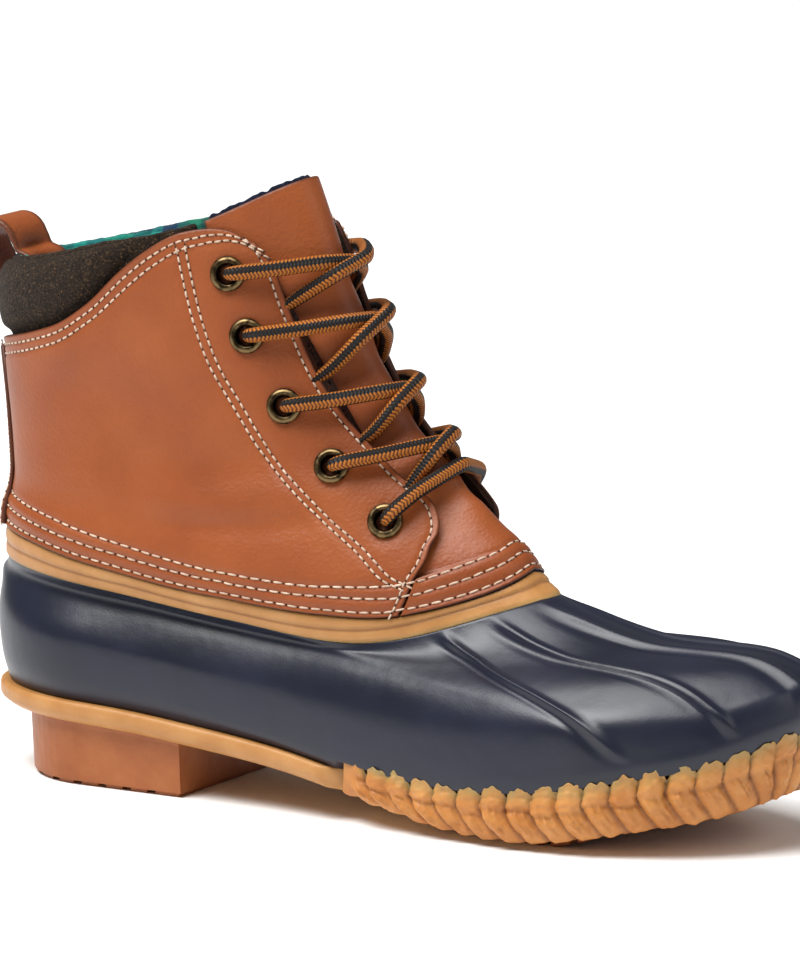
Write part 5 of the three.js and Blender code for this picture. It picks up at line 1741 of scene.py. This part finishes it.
def thread_tree():
    """Repeats a small shape along lines: each one turned along the line and to its "up"."""
    tree = bpy.data.node_groups.new("rows_of_stitches", "GeometryNodeTree")
    face = tree.interface
    face.new_socket("Lines", in_out="INPUT", socket_type="NodeSocketGeometry")
    for label, kind in (("Pitch", "Float"), ("Unevenness", "Float"), ("Seed", "Int"),
                        ("Shape", "Object"), ("Material", "Material")):
        face.new_socket(label, in_out="INPUT", socket_type=f"NodeSocket{kind}")
    face.new_socket("Stitches", in_out="OUTPUT", socket_type="NodeSocketGeometry")
    given = add_node(tree, "NodeGroupInput")
    curve = add_node(tree, "GeometryNodeMeshToCurve", {"Mesh": given.outputs["Lines"]})
    even = add_node(tree, "GeometryNodeResampleCurve", {
        "Curve": curve.outputs[0], "Length": given.outputs["Pitch"]}, mode="LENGTH")
    tangent = add_node(tree, "GeometryNodeInputTangent")
    up = add_node(tree, "GeometryNodeInputNamedAttribute", {"Name": "up"}, data_type="FLOAT_VECTOR")
    along = add_node(tree, "FunctionNodeAlignRotationToVector", {"Vector": tangent.outputs[0]}, axis="X")
    turned = add_node(tree, "FunctionNodeAlignRotationToVector", {
        "Rotation": along.outputs[0], "Vector": up.outputs[0]}, axis="Z", pivot_axis="X")
    few = add_node(tree, "ShaderNodeMath", {0: given.outputs["Unevenness"], 1: -1.0}, operation="MULTIPLY")
    swing = add_node(tree, "FunctionNodeRandomValue", {
        2: few.outputs[0], 3: given.outputs["Unevenness"],
        "Seed": given.outputs["Seed"]}, data_type="FLOAT")
    swing_up = add_node(tree, "ShaderNodeCombineXYZ", {"Z": swing.outputs[1]})
    swung = add_node(tree, "FunctionNodeRotateRotation", {
        "Rotation": turned.outputs[0], "Rotate By": swing_up.outputs[0]}, rotation_space="LOCAL")
    shape = add_node(tree, "GeometryNodeObjectInfo", {"Object": given.outputs["Shape"]})
    placed = add_node(tree, "GeometryNodeInstanceOnPoints", {
        "Points": even.outputs[0], "Instance": shape.outputs["Geometry"], "Rotation": swung.outputs[0]})
    real = add_node(tree, "GeometryNodeRealizeInstances", {0: placed.outputs[0]})
    made = add_node(tree, "GeometryNodeSetMaterial", {
        0: real.outputs[0], "Material": given.outputs["Material"]})
    add_node(tree, "NodeGroupOutput", {0: made.outputs[0]})
    return tree


def repeat_along(name, lines, tree, settings, material):
    """A piece made by the stitch tree, its inputs set by their sockets' identifiers."""
    modifier = lines.modifiers.new("repeat", "NODES")
    modifier.node_group = tree
    for item in tree.interface.items_tree:
        if item.item_type == "SOCKET" and item.in_out == "INPUT" and item.name in settings:
            modifier[item.identifier] = settings[item.name]
    graph = bpy.context.evaluated_depsgraph_get()
    mesh = bpy.data.meshes.new_from_object(lines.evaluated_get(graph))
    mesh.name = name
    lines.modifiers.remove(modifier)
    obj = bpy.data.objects.new(name, mesh)
    bpy.context.scene.collection.objects.link(obj)
    mesh.materials.clear()
    return dress(obj, [material], None)


STITCH_TREE = thread_tree()


def sew(name, paths, leather, pitch):
    """Rows of stitches on a leather piece, and dark marks of painted shade for the needle's holes between
    them.
    """
    surface = BVHTree.FromPolygons(
        [v.co.copy() for v in leather.data.vertices], [list(p.vertices) for p in leather.data.polygons])
    reach = 4
    even = np.ones(2 * reach + 1) / (2 * reach + 1)
    points, ups, edges = [], [], []
    for path in paths:
        found = [surface.find_nearest(Vector((p * MM).tolist())) for p in path]
        spots = np.array([hit[0] for hit in found]) / MM
        normals = np.array([hit[1] for hit in found])
        padded = np.pad(normals, ((reach, reach), (0, 0)), "edge")
        normals = unit(np.stack([np.convolve(padded[:, k], even, "valid") for k in range(3)], 1))
        start = len(points)
        points += (spots + normals * THREAD * 0.2).tolist()
        ups += normals.tolist()
        edges += [(start + k, start + k + 1) for k in range(len(path) - 1)]
    mesh = bpy.data.meshes.new("lines")
    mesh.from_pydata((np.array(points) * MM).tolist(), edges, [])
    layer = mesh.attributes.new("up", "FLOAT_VECTOR", "POINT")
    layer.data.foreach_set("vector", np.array(ups).reshape(-1))
    lines = bpy.data.objects.new("lines", mesh)
    bpy.context.scene.collection.objects.link(lines)
    shapes = (
        ("stitches", template_mesh(
            "stitch_shape", pitch * STITCH_SHARE, THREAD / 2, THREAD * 0.7, 0.0), CORD, 1),
        # Dark marks of painted shade for the needle's holes, half a pitch along from each stitch
        ("needle_holes", template_mesh(
            "hole_shape", HOLE_SHADE_LENGTH, THREAD * 0.4, 0.0, pitch / 2, 5), HOLE_SHADE, 2),
    )
    for word, shape, material, seed in shapes:
        settings = {
            "Pitch": pitch * MM, "Unevenness": 0.05, "Seed": seed, "Shape": shape, "Material": material}
        repeat_along(f"{name}_{word}", lines, STITCH_TREE, settings, material)
        bpy.data.objects.remove(shape)
    bpy.data.objects.remove(lines)


# The photo's view: what it looks at and its distance in metres, its angles in degrees, its
# lens and sensor in millimetres, and the picture's shift as shares of its width
VIEW_TARGET = (0.096, 0.0, 0.099)
VIEW_DISTANCE = 3.0
VIEW_AZIMUTH = 31.0
VIEW_ELEVATION = 10.5
VIEW_LENS = 441.45
VIEW_SENSOR = 36.0
VIEW_SHIFT = (-1 / 800, -2 / 800)

# The room's light, and a wide scrim overhead: azimuth and elevation, strength, spread
ROOM_STRENGTH = 0.19
SCRIM_AT = (-20, 73)
SCRIM_STRENGTH = 3.2
SCRIM_SPREAD = 46

# Name, azimuth, elevation, distance, size in metres, power in watts
SOFTBOXES = [
    ("key_softbox", -27, 54, 1.5, (0.9, 0.7), 17),
    ("side_softbox", 100, 30, 1.6, (0.8, 1.2), 4),
]


def direction(azimuth, elevation):
    """Azimuth 0 stands on the outer side, at -Y, and 90 in front of the toe."""
    a, e = math.radians(azimuth), math.radians(elevation)
    return Vector((math.sin(a) * math.cos(e), -math.cos(a) * math.cos(e), math.sin(e)))


def add_to_stage(name, data, location, facing):
    obj = bpy.data.objects.new(name, data)
    obj.location = location
    obj.rotation_euler = facing.to_track_quat("-Z", "Y").to_euler()
    bpy.context.scene.collection.objects.link(obj)
    return obj


def make_stage():
    """A white paper floor, a bright room, soft lights and the camera."""
    bpy.ops.mesh.primitive_plane_add(size=30, location=(0, 0, 0))
    floor = bpy.context.object
    floor.name = "paper_floor"
    floor.data.materials.append(PAPER)
    scene = bpy.context.scene
    scene.view_settings.view_transform = "Standard"
    world = bpy.data.worlds.new("bright_room")
    world.use_nodes = True
    background = world.node_tree.nodes["Background"].inputs
    background["Color"].default_value = (1.0, 1.0, 1.0, 1.0)
    background["Strength"].default_value = ROOM_STRENGTH
    scene.world = world
    target = Vector(VIEW_TARGET)
    for name, azimuth, elevation, distance, size, power in SOFTBOXES:
        light = bpy.data.lights.new(name, "AREA")
        light.shape, light.size, light.size_y, light.energy = "RECTANGLE", size[0], size[1], power
        towards = direction(azimuth, elevation)
        add_to_stage(name, light, target + towards * distance, -towards)
    scrim = bpy.data.lights.new("ceiling_scrim", "SUN")
    scrim.energy, scrim.angle = SCRIM_STRENGTH, math.radians(SCRIM_SPREAD)
    add_to_stage("ceiling_scrim", scrim, Vector((0, 0, 0)), -direction(*SCRIM_AT))
    camera = bpy.data.cameras.new("camera")
    camera.sensor_fit, camera.sensor_width, camera.lens = "HORIZONTAL", VIEW_SENSOR, VIEW_LENS
    camera.shift_x, camera.shift_y = VIEW_SHIFT
    camera.clip_end = 100.0
    towards = direction(VIEW_AZIMUTH, VIEW_ELEVATION)
    scene.camera = add_to_stage("camera", camera, target + towards * VIEW_DISTANCE, -towards)


make_platform()
make_tread()
make_heel()
make_rand()
make_shell()
make_binding()
make_quarters()
make_tongue()
make_cuff()
make_back_stay()
make_pull_loop()
make_eyelets()
make_lace()
make_stage()
for place_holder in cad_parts["insole"].material_slots:
    place_holder.material = KNIT
